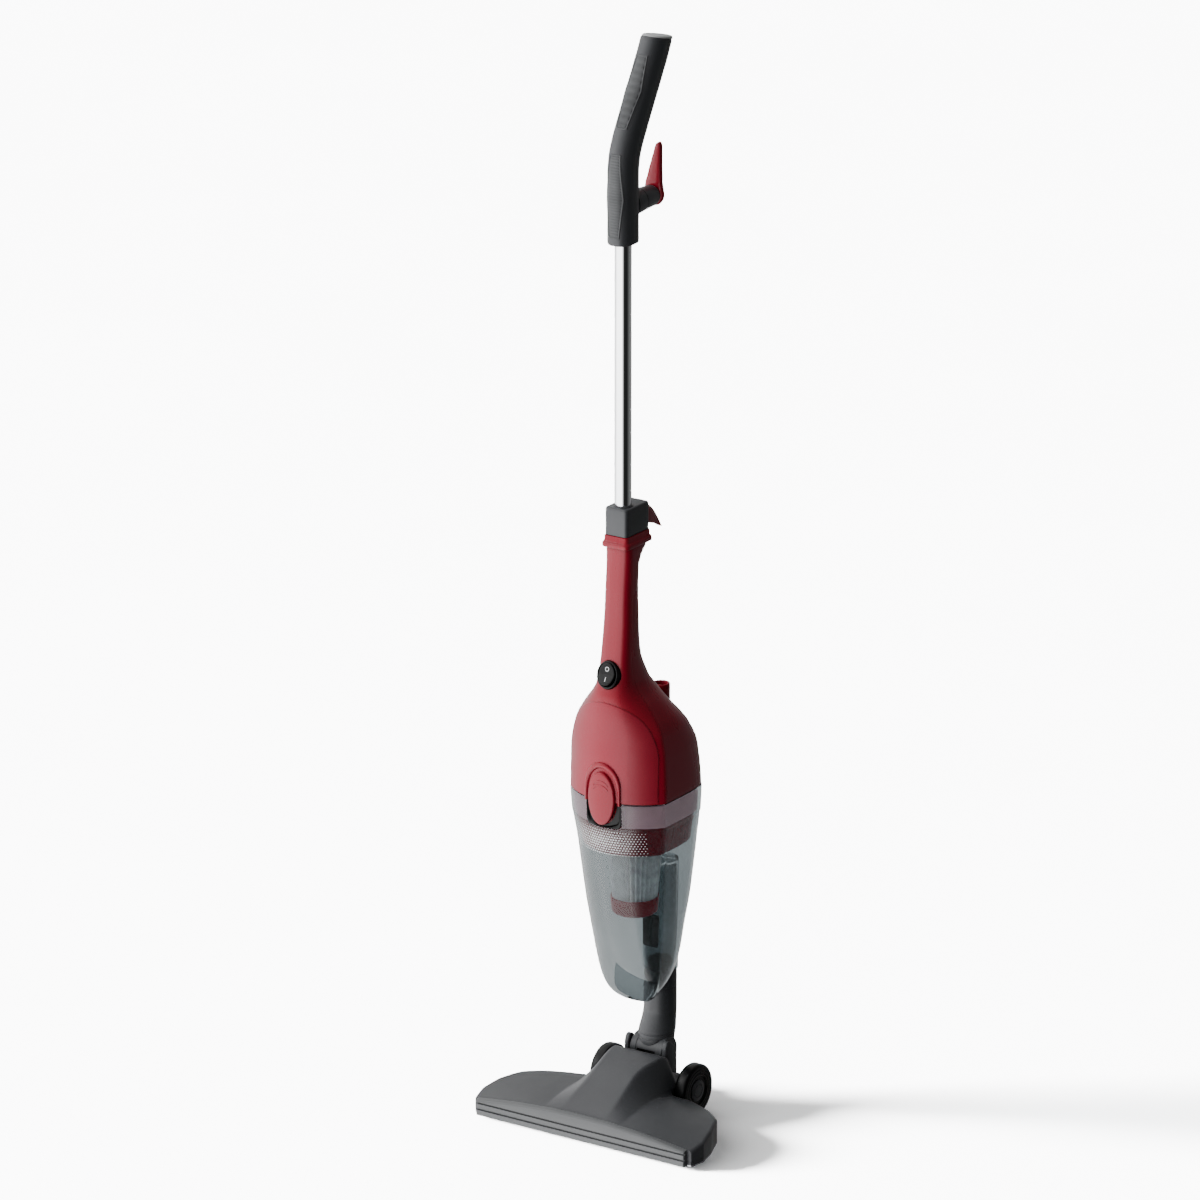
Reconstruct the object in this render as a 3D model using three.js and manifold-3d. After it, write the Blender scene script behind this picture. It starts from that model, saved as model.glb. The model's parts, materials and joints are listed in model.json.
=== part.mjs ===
// Stick vacuum cleaner: floor head, dust bin, hand unit with its motor, and a long handle that pulls out.
// Millimetres, +Z up, the floor at z = 0, the front of the cleaner facing -Y, symmetric about x = 0.
// Y is counted from the front edge of the floor head; the exported group moves it to the middle of the depth.

import * as THREE from "three";
import { mergeVertices } from "three/addons/utils/BufferGeometryUtils.js";
import Module from "manifold-3d";

const wasm = await Module();
wasm.setup();

// ---------------------------------------------------------------- driving dimensions

const TOTAL_DEPTH = 170; // front edge of the head to the bin clip behind the neck
const GAP = 0.3; // clearance between pieces that touch
const WALL = 2.4; // plastic wall thickness

const FLOOR_GAP = 4; // underside of the head above the floor
const HEAD_HALF = 135;
const HEAD_FRONT_HALF = 126.5;
const BUMPER_DEPTH = 6;

const WHEEL = { radius: 27.6, y: 132.4, inner: 44.4, width: 14, bore: 4.4, axle: 4 };
const PIVOT = { y: 137, z: 61, radius: 15, half: 19.5 };

const DUCT = { y: 149.5, outer: 16, bore: 14, bottom: 147, top: 261 };
const NECK = { radius: 17.1, bore: 15, top: 145.5 };

const BIN_TOP = 356; // parting line between the bin and the hand unit
const BIN_BAND = 328; // lower edge of the clear rim that overlaps the hand unit
const BIN_WALL = 2.2;
const BIN_TILT = 0.3; // rise of the bin's floor towards the rear

const NECK_TOP = 617; // top of the hand unit's handle
const RING_TOP = 629;
const COLLAR_TOP = 658;
const SPLIT_Y = 72; // parting plane of the hand unit's two shells

const FILTER = { y: 102, topRadius: 28, bottomRadius: 23, top: 291, bottom: 236 };
const MOTOR_Y = 99;

const BUTTON = { z: 360.5, halfWidth: 15.2, halfHeight: 28 };
const SWITCH = { y: 55.3, z: 487, lean: 13.7, throw: 7 };

const TUBE = { y: 79.8, radius: 8.5, bore: 7.5, bottom: 604, top: 962 };
const GRIP_BOTTOM = 929;
const LOCK_Z = 944; // snap button that locks the tube in the grip
const HOOK = { z: 966, postEnd: 130.5 };

// ---------------------------------------------------------------- materials

function finish(color, roughness, metalness = 0, opacity = 1) {
  return new THREE.MeshStandardMaterial({
    color,
    roughness,
    metalness,
    opacity,
    transparent: opacity < 1,
  });
}

const paint = {
  darkGrey: () => finish(0x4a4b4e, 0.5),
  bumperGrey: () => finish(0x7c7e80, 0.5),
  capGrey: () => finish(0x9a9c9e, 0.45),
  red: () => finish(0x8e1b2b, 0.25),
  black: () => finish(0x151517, 0.55),
  rubber: () => finish(0x1d1d1f, 0.85),
  chrome: () => finish(0xd8dadc, 0.08, 1),
  steel: () => finish(0x9ea1a4, 0.35, 1),
  copper: () => finish(0xa4582f, 0.4, 1),
  smoke: () => finish(0x8b979c, 0.08, 0, 0.4),
  paper: () => finish(0xc9cacb, 0.9),
  bristle: () => finish(0x26262a, 0.9),
};

// ---------------------------------------------------------------- solids

const vec = (x, y, z) => new THREE.Vector3(x, y, z);
const rad = THREE.MathUtils.degToRad;

// A closed three.js geometry as a manifold solid.
function solid(geometry) {
  const bare = geometry.index ? geometry.toNonIndexed() : geometry.clone();
  bare.deleteAttribute("normal");
  bare.deleteAttribute("uv");
  const merged = mergeVertices(bare, 1e-3);
  return new wasm.Manifold(
    new wasm.Mesh({
      numProp: 3,
      vertProperties: merged.attributes.position.array,
      triVerts: new Uint32Array(merged.index.array),
    }),
  );
}

function geometryOf(manifold) {
  const mesh = manifold.getMesh();
  const geometry = new THREE.BufferGeometry();
  geometry.setAttribute("position", new THREE.BufferAttribute(mesh.vertProperties, 3));
  geometry.setIndex(new THREE.BufferAttribute(mesh.triVerts, 1));
  const flat = geometry.toNonIndexed();
  flat.computeVertexNormals();
  return flat;
}

// A closed solid through rings of points, each ring a loop with the same number of points.
function loft(rings) {
  const count = rings[0].length;
  const points = rings.flat();
  const faces = [];
  for (let level = 0; level < rings.length - 1; level++) {
    for (let i = 0; i < count; i++) {
      const a = level * count + i;
      const b = level * count + ((i + 1) % count);
      faces.push([a, b, b + count], [a, b + count, a + count]);
    }
  }
  for (const [ring, level] of [[rings[0], 0], [rings.at(-1), rings.length - 1]]) {
    const middle = ring.reduce((sum, p) => sum.add(p), vec(0, 0, 0)).divideScalar(count);
    const centre = points.push(middle) - 1;
    for (let i = 0; i < count; i++) {
      const a = level * count + i;
      const b = level * count + ((i + 1) % count);
      faces.push(level ? [a, b, centre] : [b, a, centre]);
    }
  }
  const volume = faces.reduce(
    (sum, [a, b, c]) => sum + points[a].dot(vec(0, 0, 0).crossVectors(points[b], points[c])),
    0,
  );
  const turned = volume < 0 ? faces.map(([a, b, c]) => [a, c, b]) : faces;
  const geometry = new THREE.BufferGeometry().setFromPoints(points);
  geometry.setIndex(turned.flat());
  return solid(geometry);
}

function box(x0, x1, y0, y1, z0, z1) {
  const geometry = new THREE.BoxGeometry(x1 - x0, y1 - y0, z1 - z0);
  return solid(geometry.translate((x0 + x1) / 2, (y0 + y1) / 2, (z0 + z1) / 2));
}

// A cylinder or cone between two points.
function rod(from, to, radius, endRadius = radius, segments = 20) {
  const along = to.clone().sub(from);
  const geometry = new THREE.CylinderGeometry(endRadius, radius, along.length(), segments);
  const turn = new THREE.Quaternion().setFromUnitVectors(vec(0, 1, 0), along.normalize());
  geometry.applyQuaternion(turn);
  const middle = from.clone().add(to).divideScalar(2);
  return solid(geometry.translate(middle.x, middle.y, middle.z));
}

const upright = (x, y, z0, z1, radius, endRadius, segments) =>
  rod(vec(x, y, z0), vec(x, y, z1), radius, endRadius, segments);

// How a flat outline's two axes and its depth lie in space, for prisms along X, Y and Z.
const PRISM_BASIS = {
  x: [vec(0, 1, 0), vec(0, 0, 1), vec(1, 0, 0)],
  y: [vec(1, 0, 0), vec(0, 0, 1), vec(0, -1, 0)],
  z: [vec(1, 0, 0), vec(0, 1, 0), vec(0, 0, 1)],
};

const polygon = (points) => new THREE.Shape(points.map(([a, b]) => new THREE.Vector2(a, b)));

// An outline extruded along an axis from low to high; the outline is in (y, z), (x, z) or (x, y).
function prism(outline, axis, low, high) {
  const shape = Array.isArray(outline) ? polygon(outline) : outline;
  const geometry = new THREE.ExtrudeGeometry(shape, {
    depth: high - low,
    bevelEnabled: false,
    curveSegments: 5,
  });
  geometry.applyMatrix4(new THREE.Matrix4().makeBasis(...PRISM_BASIS[axis]));
  const start = axis === "y" ? high : low;
  return solid(geometry.translate(...{ x: [start, 0, 0], y: [0, start, 0], z: [0, 0, start] }[axis]));
}

function roundedRectangle(x0, x1, y0, y1, radius) {
  const shape = new THREE.Shape();
  shape.moveTo(x0 + radius, y0);
  shape.lineTo(x1 - radius, y0);
  shape.absarc(x1 - radius, y0 + radius, radius, -Math.PI / 2, 0);
  shape.lineTo(x1, y1 - radius);
  shape.absarc(x1 - radius, y1 - radius, radius, 0, Math.PI / 2);
  shape.lineTo(x0 + radius, y1);
  shape.absarc(x0 + radius, y1 - radius, radius, Math.PI / 2, Math.PI);
  shape.lineTo(x0, y0 + radius);
  shape.absarc(x0 + radius, y0 + radius, radius, Math.PI, Math.PI * 1.5);
  return shape;
}

function oval(x, z, halfWidth, halfHeight, segments = 24) {
  return Array.from({ length: segments }, (_, i) => {
    const angle = (i / segments) * 2 * Math.PI;
    return [x + halfWidth * Math.cos(angle), z + halfHeight * Math.sin(angle)];
  });
}

// A solid of revolution about the vertical line at (x, y); the profile is [radius, z] pairs, closed on itself.
function turned(profile, x, y, segments = 24) {
  const closed = [...profile, profile[0]].map(([r, z]) => new THREE.Vector2(r, z));
  const geometry = new THREE.LatheGeometry(closed, segments);
  return solid(geometry.rotateX(Math.PI / 2).translate(x, y, 0));
}

// The value of one column of a table of stations at a height, by monotone cubic interpolation.
// The stations' heights ascend.
function column(stations, key, z) {
  const last = stations.length - 1;
  const at = THREE.MathUtils.clamp(z, stations[0].z, stations[last].z);
  const i = Math.min(last - 1, stations.findLastIndex((s) => s.z <= at));
  const slope = (k) =>
    k < 0 || k >= last ? 0 : (stations[k + 1][key] - stations[k][key]) / (stations[k + 1].z - stations[k].z);
  const tangent = (k) => {
    const before = slope(k - 1);
    const after = slope(k);
    return before * after <= 0 ? 0 : (2 * before * after) / (before + after);
  };
  const span = stations[i + 1].z - stations[i].z;
  const t = (at - stations[i].z) / span;
  return (
    stations[i][key] * (1 + 2 * t) * (1 - t) ** 2 +
    stations[i + 1][key] * t * t * (3 - 2 * t) +
    tangent(i) * span * t * (1 - t) ** 2 -
    tangent(i + 1) * span * t * t * (1 - t)
  );
}

// ---------------------------------------------------------------- the assembly

const cleaner = new THREE.Group();
cleaner.position.y = -TOTAL_DEPTH / 2;

function add(name, material, manifold) {
  const mesh = new THREE.Mesh(geometryOf(manifold), material);
  mesh.name = name;
  cleaner.add(mesh);
}

const SIDES = [["left", -1], ["right", 1]];

// ---------------------------------------------------------------- section of the hand unit and the bin

// Half width and the Y of the front, the side crease and the rear; the front face turns through twice
// the sweep angle, and the powers square the front and rear curves up from ellipses.
const BODY = [
  { z: 356, half: 57.2, crease: 71, front: 43, rear: 155.5, sweep: 50, frontPower: 2, rearPower: 6 },
  { z: 400, half: 56, crease: 71, front: 43.3, rear: 153.5, sweep: 52, frontPower: 2, rearPower: 5 },
  { z: 424, half: 52.5, crease: 71, front: 44, rear: 144, sweep: 57, frontPower: 2, rearPower: 4.2 },
  { z: 435, half: 48.5, crease: 71, front: 44.5, rear: 137, sweep: 60, frontPower: 2, rearPower: 3.8 },
  { z: 446, half: 42, crease: 71, front: 45, rear: 128.5, sweep: 66, frontPower: 2.1, rearPower: 3.5 },
  { z: 456, half: 35, crease: 71, front: 46, rear: 122, sweep: 72, frontPower: 2.2, rearPower: 3.3 },
  { z: 466, half: 26.5, crease: 71, front: 47.7, rear: 117.5, sweep: 80, frontPower: 2.4, rearPower: 3.2 },
  { z: 476, half: 20.5, crease: 71.5, front: 51, rear: 111, sweep: 86, frontPower: 2.7, rearPower: 3 },
  { z: 487, half: 18.2, crease: 72, front: 55, rear: 105.5, sweep: 90, frontPower: 3, rearPower: 3 },
  { z: 500, half: 16.8, crease: 72, front: 57, rear: 99, sweep: 90, frontPower: 3, rearPower: 3 },
  { z: 515, half: 16.2, crease: 73, front: 59, rear: 95.5, sweep: 90, frontPower: 3, rearPower: 3 },
  { z: 540, half: 15.4, crease: 75, front: 61.8, rear: 94, sweep: 90, frontPower: 3, rearPower: 3 },
  { z: 570, half: 14.7, crease: 76, front: 63.6, rear: 93.5, sweep: 90, frontPower: 3, rearPower: 3 },
  { z: 595, half: 14.6, crease: 77.5, front: 65.5, rear: 94.5, sweep: 90, frontPower: 3, rearPower: 3 },
  { z: 606, half: 14.8, crease: 78, front: 66, rear: 100, sweep: 90, frontPower: 3, rearPower: 3.2 },
  { z: NECK_TOP, half: 15, crease: 78.5, front: 66, rear: 109, sweep: 90, frontPower: 3, rearPower: 3.6 },
];

const BIN = [
  { z: 122, half: 9, crease: 110, front: 106, rear: 134, sweep: 90, frontPower: 2, rearPower: 2 },
  { z: 126, half: 19, crease: 102, front: 97.5, rear: 145, sweep: 90, frontPower: 2, rearPower: 2.2 },
  { z: 132, half: 27, crease: 98, front: 92, rear: 150, sweep: 85, frontPower: 2, rearPower: 2.4 },
  { z: 140, half: 32, crease: 95, front: 87.5, rear: 153, sweep: 75, frontPower: 2, rearPower: 2.6 },
  { z: 150, half: 35.5, crease: 93, front: 83, rear: 154.5, sweep: 66, frontPower: 2, rearPower: 2.8 },
  { z: 165, half: 38.5, crease: 91, front: 77, rear: 155, sweep: 60, frontPower: 2, rearPower: 3 },
  { z: 195, half: 42.3, crease: 87.5, front: 67.5, rear: 155.5, sweep: 55, frontPower: 2, rearPower: 3.3 },
  { z: 230, half: 46.6, crease: 84, front: 59, rear: 155.5, sweep: 52, frontPower: 2, rearPower: 3.8 },
  { z: 265, half: 50.2, crease: 81, front: 52, rear: 155.5, sweep: 50, frontPower: 2, rearPower: 4.4 },
  { z: 301, half: 53.7, crease: 78, front: 46.5, rear: 155.5, sweep: 50, frontPower: 2, rearPower: 5 },
  { z: 335, half: 57, crease: 73, front: 43.4, rear: 155.5, sweep: 50, frontPower: 2, rearPower: 5.6 },
  { z: BIN_TOP, half: 57.2, crease: 71, front: 43, rear: 155.5, sweep: 50, frontPower: 2, rearPower: 6 },
];

const FRONT_STEPS = 10;
const REAR_STEPS = 12;

// The closed loop of the body's outline at a height, moved inwards by inset.
function section(stations, z, inset = 0) {
  const get = (key) => column(stations, key, z);
  const half = get("half") - inset;
  const crease = get("crease");
  const front = get("front") + inset;
  const rear = get("rear") - inset;
  const sweep = rad(get("sweep"));
  const power = (value, exponent) => Math.sign(value) * Math.abs(value) ** (2 / exponent);
  const frontPower = get("frontPower");
  const rearPower = get("rearPower");
  const sideReach = power(Math.sin(sweep), frontPower);
  const depthReach = 1 - power(Math.cos(sweep), frontPower);
  const loop = [];
  for (let i = 0; i < FRONT_STEPS; i++) {
    const angle = sweep * ((2 * i) / FRONT_STEPS - 1);
    const x = (half * power(Math.sin(angle), frontPower)) / sideReach;
    const depth = (1 - power(Math.cos(angle), frontPower)) / depthReach;
    loop.push(vec(x, front + (crease - front) * depth, z));
  }
  for (let i = 0; i < REAR_STEPS; i++) {
    const angle = (i / REAR_STEPS) * Math.PI;
    const x = half * power(Math.cos(angle), rearPower);
    const y = crease + (rear - crease) * power(Math.sin(angle), rearPower);
    loop.push(vec(x, y, z));
  }
  return loop;
}

const bodyLoft = (heights, inset) => loft(heights.map((z) => section(BODY, z, inset)));

// The bin's floor rises to the rear, so its lower rings lean back.
function binRing(z, inset) {
  const tilt = BIN_TILT * THREE.MathUtils.smoothstep(250 - z, 0, 110);
  const front = column(BIN, "front", z);
  return section(BIN, z, inset).map((p) => vec(p.x, p.y, p.z + tilt * (p.y - front)));
}

const BODY_HEIGHTS = [356.3, 385, 408, 424, 435, 446, 456, 466, 476, 487, 500, 518, 550, 595, 606, 616.7];
const BIN_HEIGHTS = [122, 126, 132, 140, 150, 165, 195, 230, 265, 301, 328, 342, 355.7];

// ---------------------------------------------------------------- floor head

const HEAD_REAR = [[43, 143], [44, 113], [70, 105], [100, 90], [119, 74], [130, 46], [HEAD_HALF, 24]];
const ARCH_RADIUS = WHEEL.radius + 2.6;

// The head seen from above, moved inwards by inset.
function footprint(inset) {
  const right = [[HEAD_FRONT_HALF - inset, inset], [132.5 - inset, 8 + inset / 2]];
  const rear = [...HEAD_REAR].reverse().map(([x, y]) => [x - inset, y - inset]);
  const half = [...right, ...rear];
  return [...half, ...half.map(([x, y]) => [-x, y]).reverse()];
}

// Height of the head's top over the floor: low wings and a hump in the middle that climbs to the neck.
const WING_CREST_Y = 58;
const HUMP = [
  { z: 0, top: 30 },
  { z: 27, top: 40 },
  { z: 50, top: 50 },
  { z: 71.5, top: 60 },
  { z: 90, top: 64.5 },
  { z: 108, top: 66 },
  { z: 116, top: 63 },
  { z: 124, top: 46 },
  { z: 143, top: 38 },
];

function headTop(x, y) {
  const across = (x / HEAD_FRONT_HALF) ** 2;
  const front = 30 - 10 * across;
  const crest = 37 - 7 * across;
  const rise = Math.sin((Math.min(1, y / WING_CREST_Y) * Math.PI) / 2);
  const fall = 8 * (Math.max(0, y - WING_CREST_Y) / 50) ** 2;
  const wing = front + (crest - front) * rise - fall;
  const hump = column(HUMP, "top", y);
  const share = 1 - THREE.MathUtils.smoothstep(Math.abs(x), 25, 47);
  return wing + Math.max(0, hump - wing) * share;
}

const HEAD_STEPS = [25, 30, 36, 42, 47, 62, 90, 120, 136];
const HEAD_STATIONS = [...HEAD_STEPS.map((x) => -x).reverse(), 0, ...HEAD_STEPS];
const HEAD_DEPTHS = [-1, 12, 27, 42, 56, 72, 90, 106, 114, 124, 144];

// Everything under the head's top surface lowered by drop, down to z = bottom.
function underHeadTop(drop, bottom) {
  return loft(
    HEAD_STATIONS.map((x) => [
      ...HEAD_DEPTHS.map((y) => vec(x, y, headTop(x, y) - drop)),
      vec(x, 144, bottom),
      vec(x, -1, bottom),
    ]),
  );
}

const alongX = (y, z, x0, x1, radius, segments) =>
  rod(vec(x0, y, z), vec(x1, y, z), radius, radius, segments);

const wheelArches = SIDES.map(([, side]) =>
  alongX(WHEEL.y, WHEEL.radius, side * (WHEEL.inner - 1.4), side * 61, ARCH_RADIUS, 30),
).reduce((a, b) => a.add(b));

const axleHoles = alongX(WHEEL.y, WHEEL.radius, -60, 60, WHEEL.axle + GAP, 20);
const neckSocket = alongX(PIVOT.y, PIVOT.z, -PIVOT.half - 0.8, PIVOT.half + 0.8, PIVOT.radius + 1.2, 24);
const EAR = { inner: 20.4, thick: 5, front: 121, rear: 142.5, top: 76, bottom: 36 };

function headCover() {
  const outer = prism(footprint(0), "z", FLOOR_GAP + 5, 80).intersect(underHeadTop(0, 1));
  const cavity = prism(footprint(WALL), "z", 0, 80).intersect(underHeadTop(WALL, -1));
  const bumperSpace = box(-140, 140, -2, BUMPER_DEPTH + GAP, 0, 40);
  const earSlots = SIDES.map(([, side]) =>
    box(
      Math.min(side * (EAR.inner - GAP), side * (EAR.inner + EAR.thick + GAP)),
      Math.max(side * (EAR.inner - GAP), side * (EAR.inner + EAR.thick + GAP)),
      EAR.front - GAP, EAR.rear + GAP, 20, 90,
    ),
  );
  return outer
    .subtract(cavity)
    .subtract(bumperSpace)
    .subtract(wheelArches)
    .subtract(axleHoles)
    .subtract(neckSocket)
    .subtract(earSlots[0])
    .subtract(earSlots[1]);
}

add("head_cover", paint.darkGrey(), headCover());

// The bumper is the light grey strip across the front, with two grooves along it.
function frontBumper() {
  const strip = prism(footprint(0), "z", FLOOR_GAP, 80)
    .intersect(underHeadTop(0, 1))
    .intersect(box(-140, 140, -2, BUMPER_DEPTH, 0, 40));
  const groove = (z) => box(-140, 140, -2, 1.3, z - 0.7, z + 0.7);
  return strip.subtract(groove(17.7)).subtract(groove(11));
}

add("front_bumper", paint.bumperGrey(), frontBumper());

const MOUTH = { half: 112, front: 15, rear: 31 };
const SOLE_TOP = FLOOR_GAP + 1.2;
const BASE_TOP = FLOOR_GAP + 4.7;
const BRUSH = { half: 108, thick: 2.6, front: 11.2, rear: 33, bottom: 0.9 };
const SCREWS = [[-100, 52], [100, 52], [-32, 96], [32, 96]];
const SCREW_HEAD = 3.2;

// The head's flat underside between two heights, with its mouth, brush slots and screw holes.
function underside(low, high) {
  const plate = prism(footprint(0.2), "z", low, high)
    .subtract(box(-140, 140, -2, BUMPER_DEPTH + GAP, 0, 40))
    .subtract(box(-MOUTH.half, MOUTH.half, MOUTH.front, MOUTH.rear, 0, 20))
    .subtract(wheelArches);
  const hole = SCREW_HEAD + 0.5;
  const recesses = SCREWS.map(([x, y]) => upright(x, y, 0, FLOOR_GAP + 2.6, hole, hole, 12));
  const brushSlots = [BRUSH.front, BRUSH.rear].map((y) =>
    box(-BRUSH.half - GAP, BRUSH.half + GAP, y - GAP, y + BRUSH.thick + GAP, 0, FLOOR_GAP + 3),
  );
  return [...recesses, ...brushSlots].reduce((base, cut) => base.subtract(cut), plate);
}

add("sole_plate", paint.steel(), underside(FLOOR_GAP, SOLE_TOP));
add("head_base", paint.darkGrey(), underside(SOLE_TOP + GAP, BASE_TOP));

for (const place of ["front", "rear"]) {
  const y = BRUSH[place];
  const strip = box(-BRUSH.half, BRUSH.half, y, y + BRUSH.thick, BRUSH.bottom, FLOOR_GAP + 2.7);
  add("brush_strip_" + place, paint.bristle(), strip);
}

SCREWS.forEach(([x, y], i) => {
  const head = upright(x, y, FLOOR_GAP + 0.6, FLOOR_GAP + 2.3, SCREW_HEAD, SCREW_HEAD, 12);
  const slot = box(x - 0.5, x + 0.5, y - 2.2, y + 2.2, 0, FLOOR_GAP + 1.4);
  const cross = box(x - 2.2, x + 2.2, y - 0.5, y + 0.5, 0, FLOOR_GAP + 1.4);
  add("base_screw_" + (i + 1), paint.steel(), head.subtract(slot).subtract(cross));
});

for (const [name, side] of SIDES) {
  const x = side * 119;
  add("glide_" + name, paint.rubber(), prism(roundedRectangle(x - 7, x + 7, 12, 34, 4), "z", 0, FLOOR_GAP - 0.1));

  const ends = [side * 36, side * (WHEEL.inner + WHEEL.width - 2)];
  add("axle_" + name, paint.steel(), alongX(WHEEL.y, WHEEL.radius, ...ends, WHEEL.axle, 20));

  const earShape = new THREE.Shape();
  earShape.moveTo(EAR.front, EAR.bottom);
  earShape.lineTo(EAR.rear, EAR.bottom);
  earShape.lineTo(EAR.rear, PIVOT.z);
  earShape.absarc(PIVOT.y - 2, PIVOT.z, 7.5, 0, Math.PI / 2);
  earShape.lineTo(EAR.front + 6, EAR.top);
  earShape.lineTo(EAR.front, EAR.top - 8);
  const ear = prism(earShape, "x", EAR.inner, EAR.inner + EAR.thick);
  const pin = alongX(PIVOT.y, PIVOT.z, 14.5, EAR.inner + 1, 5, 20);
  const oneSide = ear.add(pin);
  add("neck_ear_" + name, paint.darkGrey(), side > 0 ? oneSide : oneSide.mirror([1, 0, 0]));
}

// ---------------------------------------------------------------- wheels

for (const [name, side] of SIDES) {
  const outer = WHEEL.inner + WHEEL.width;
  const profile = [
    [WHEEL.bore, WHEEL.inner], [24.5, WHEEL.inner], [26.8, WHEEL.inner + 1], [WHEEL.radius, WHEEL.inner + 3.2],
    [WHEEL.radius, outer - 3.2], [26.6, outer - 0.8], [24.6, outer], [20.6, outer],
    [19.6, outer - 1.4], [12.2, outer - 1.4], [12.2, outer - 3], [WHEEL.bore, outer - 3],
  ];
  const tyre = turned(profile, 0, 0, 30);
  const capProfile = [
    [0, outer - 1.9], [11.4, outer - 1.9], [11.4, outer - 0.6], [9, outer + 0.2], [0, outer + 0.2],
  ];
  const cap = turned(capProfile, 0, 0, 24);
  const onAxle = (manifold) =>
    manifold.rotate([0, side * 90, 0]).translate([0, WHEEL.y, WHEEL.radius]);
  add("wheel_" + name, paint.black(), onAxle(tyre));
  add("hub_cap_" + name, paint.darkGrey(), onAxle(cap));
}

// ---------------------------------------------------------------- neck

function circle(x, y, z, halfX, halfY, segments = 20) {
  return Array.from({ length: segments }, (_, i) => {
    const angle = (i / segments) * 2 * Math.PI;
    return vec(x + halfX * Math.cos(angle), y + halfY * Math.sin(angle), z);
  });
}

function neckTube() {
  const outside = (grow) =>
    loft([
      circle(0, 141, 62, 18.6 + grow, 17.5 + grow),
      circle(0, 142, 73, 19.2 + grow, 18.6 + grow),
      circle(0, 144, 80, 19.2 + grow, 18.4 + grow),
      circle(0, 147.5, 92, 17.8 + grow, 17.6 + grow),
      circle(0, DUCT.y, 103, NECK.radius + grow, NECK.radius + grow),
      circle(0, DUCT.y, NECK.top, NECK.radius + grow, NECK.radius + grow),
    ]);
  const spigot = upright(0, DUCT.y, NECK.top - 3, NECK.top + 10, DUCT.bore - 0.5);
  const bore = loft([
    circle(0, 141, 61, 14, 13),
    circle(0, 142, 73, 15.5, 14.5),
    circle(0, 147.5, 92, 14.6, 14.2),
    circle(0, DUCT.y, 103, 11.6, 11.6),
    circle(0, DUCT.y, NECK.top + 12, 11.6, 11.6),
  ]);
  const saddle = alongX(PIVOT.y, PIVOT.z, -30, 30, PIVOT.radius + GAP, 24);
  return outside(0).add(spigot).subtract(bore).subtract(saddle);
}

// The barrel turns on the ears' pins; its windows let the air through.
function neckBarrel() {
  const drum = alongX(PIVOT.y, PIVOT.z, -PIVOT.half, PIVOT.half, PIVOT.radius, 24);
  const hollow = alongX(PIVOT.y, PIVOT.z, -PIVOT.half + 3, PIVOT.half - 3, PIVOT.radius - 2.2, 24);
  const pinHoles = alongX(PIVOT.y, PIVOT.z, -30, 30, 5 + GAP, 20);
  const upperWindow = box(-11, 11, PIVOT.y - 6, PIVOT.y + 9, PIVOT.z, PIVOT.z + 30);
  const lowerWindow = box(-11, 11, PIVOT.y - 30, PIVOT.y, PIVOT.z - 9, PIVOT.z + 2);
  return drum.subtract(hollow).subtract(pinHoles).subtract(upperWindow).subtract(lowerWindow);
}

function neckClip() {
  const outline = [
    [164.6, 112], [168, 108], [TOTAL_DEPTH, 112], [TOTAL_DEPTH, 150],
    [167.9, 150], [167.9, 122], [164.6, 120],
  ];
  const tube = upright(0, DUCT.y, 80, 160, NECK.radius + GAP);
  return prism(outline, "x", -6, 6).subtract(tube);
}

add("neck_tube", paint.darkGrey(), neckTube());
add("neck_barrel", paint.darkGrey(), neckBarrel());
add("neck_clip", paint.black(), neckClip());

// ---------------------------------------------------------------- dust bin

const bezelOutline = (grow) => {
  const half = 20.5 + grow;
  const shape = new THREE.Shape();
  shape.moveTo(-half, BIN_BAND + 1.5 - grow);
  shape.lineTo(half, BIN_BAND + 1.5 - grow);
  shape.lineTo(half, 372);
  shape.absellipse(0, 372, half, 26 + grow, 0, Math.PI);
  return shape;
};

const bezelPrism = (grow) => prism(bezelOutline(grow), "y", 20, 66);

function binShell() {
  const outer = loft(BIN_HEIGHTS.map((z) => binRing(z, 0)));
  const innerHeights = [124.6, 128, 134, 142, ...BIN_HEIGHTS.slice(4, -1), 358];
  const inner = loft(innerHeights.map((z) => binRing(z, BIN_WALL)));
  const channel = upright(0, DUCT.y, 146, DUCT.top + 3, DUCT.outer + GAP + 1.9);
  const bore = upright(0, DUCT.y, 140, DUCT.top + GAP, DUCT.outer + GAP);
  const neckRoom = upright(0, DUCT.y, 90, 146, NECK.radius + 0.4);
  return outer.add(channel).subtract(inner).subtract(bore).subtract(neckRoom).subtract(bezelPrism(0.5));
}

function inletDuct() {
  const tube = upright(0, DUCT.y, DUCT.bottom, DUCT.top, DUCT.outer);
  const bore = upright(0, DUCT.y, DUCT.bottom - 1, DUCT.top - 2.4, DUCT.bore);
  const window = box(-8.5, 8.5, 120, DUCT.y - 6, 175, 205);
  return tube.subtract(bore).subtract(window);
}

const FLAP = { y: 131.4, thick: 1.3, top: 208, bottom: 173, half: 10 };

add("bin_shell", paint.smoke(), binShell());
add("inlet_duct", paint.smoke(), inletDuct());
add("inlet_flap", paint.rubber(),
  box(-FLAP.half, FLAP.half, FLAP.y, FLAP.y + FLAP.thick, FLAP.bottom, FLAP.top));

// ---------------------------------------------------------------- hand unit: shells

const frontOfSplit = box(-80, 80, 0, SPLIT_Y - GAP / 2, 340, 640);
const behindSplit = box(-80, 80, SPLIT_Y + GAP / 2, 200, 340, 640);

// Something round about the switch's own axis, which leans back from level; from and to lie along it.
function onSwitchAxis(halfWidth, halfHeight, from, to, segments = 24) {
  const flat = prism(oval(0, 0, halfWidth, halfHeight, segments), "y", -to, -from);
  return flat.rotate([-SWITCH.lean, 0, 0]).translate([0, SWITCH.y, SWITCH.z]);
}

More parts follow.
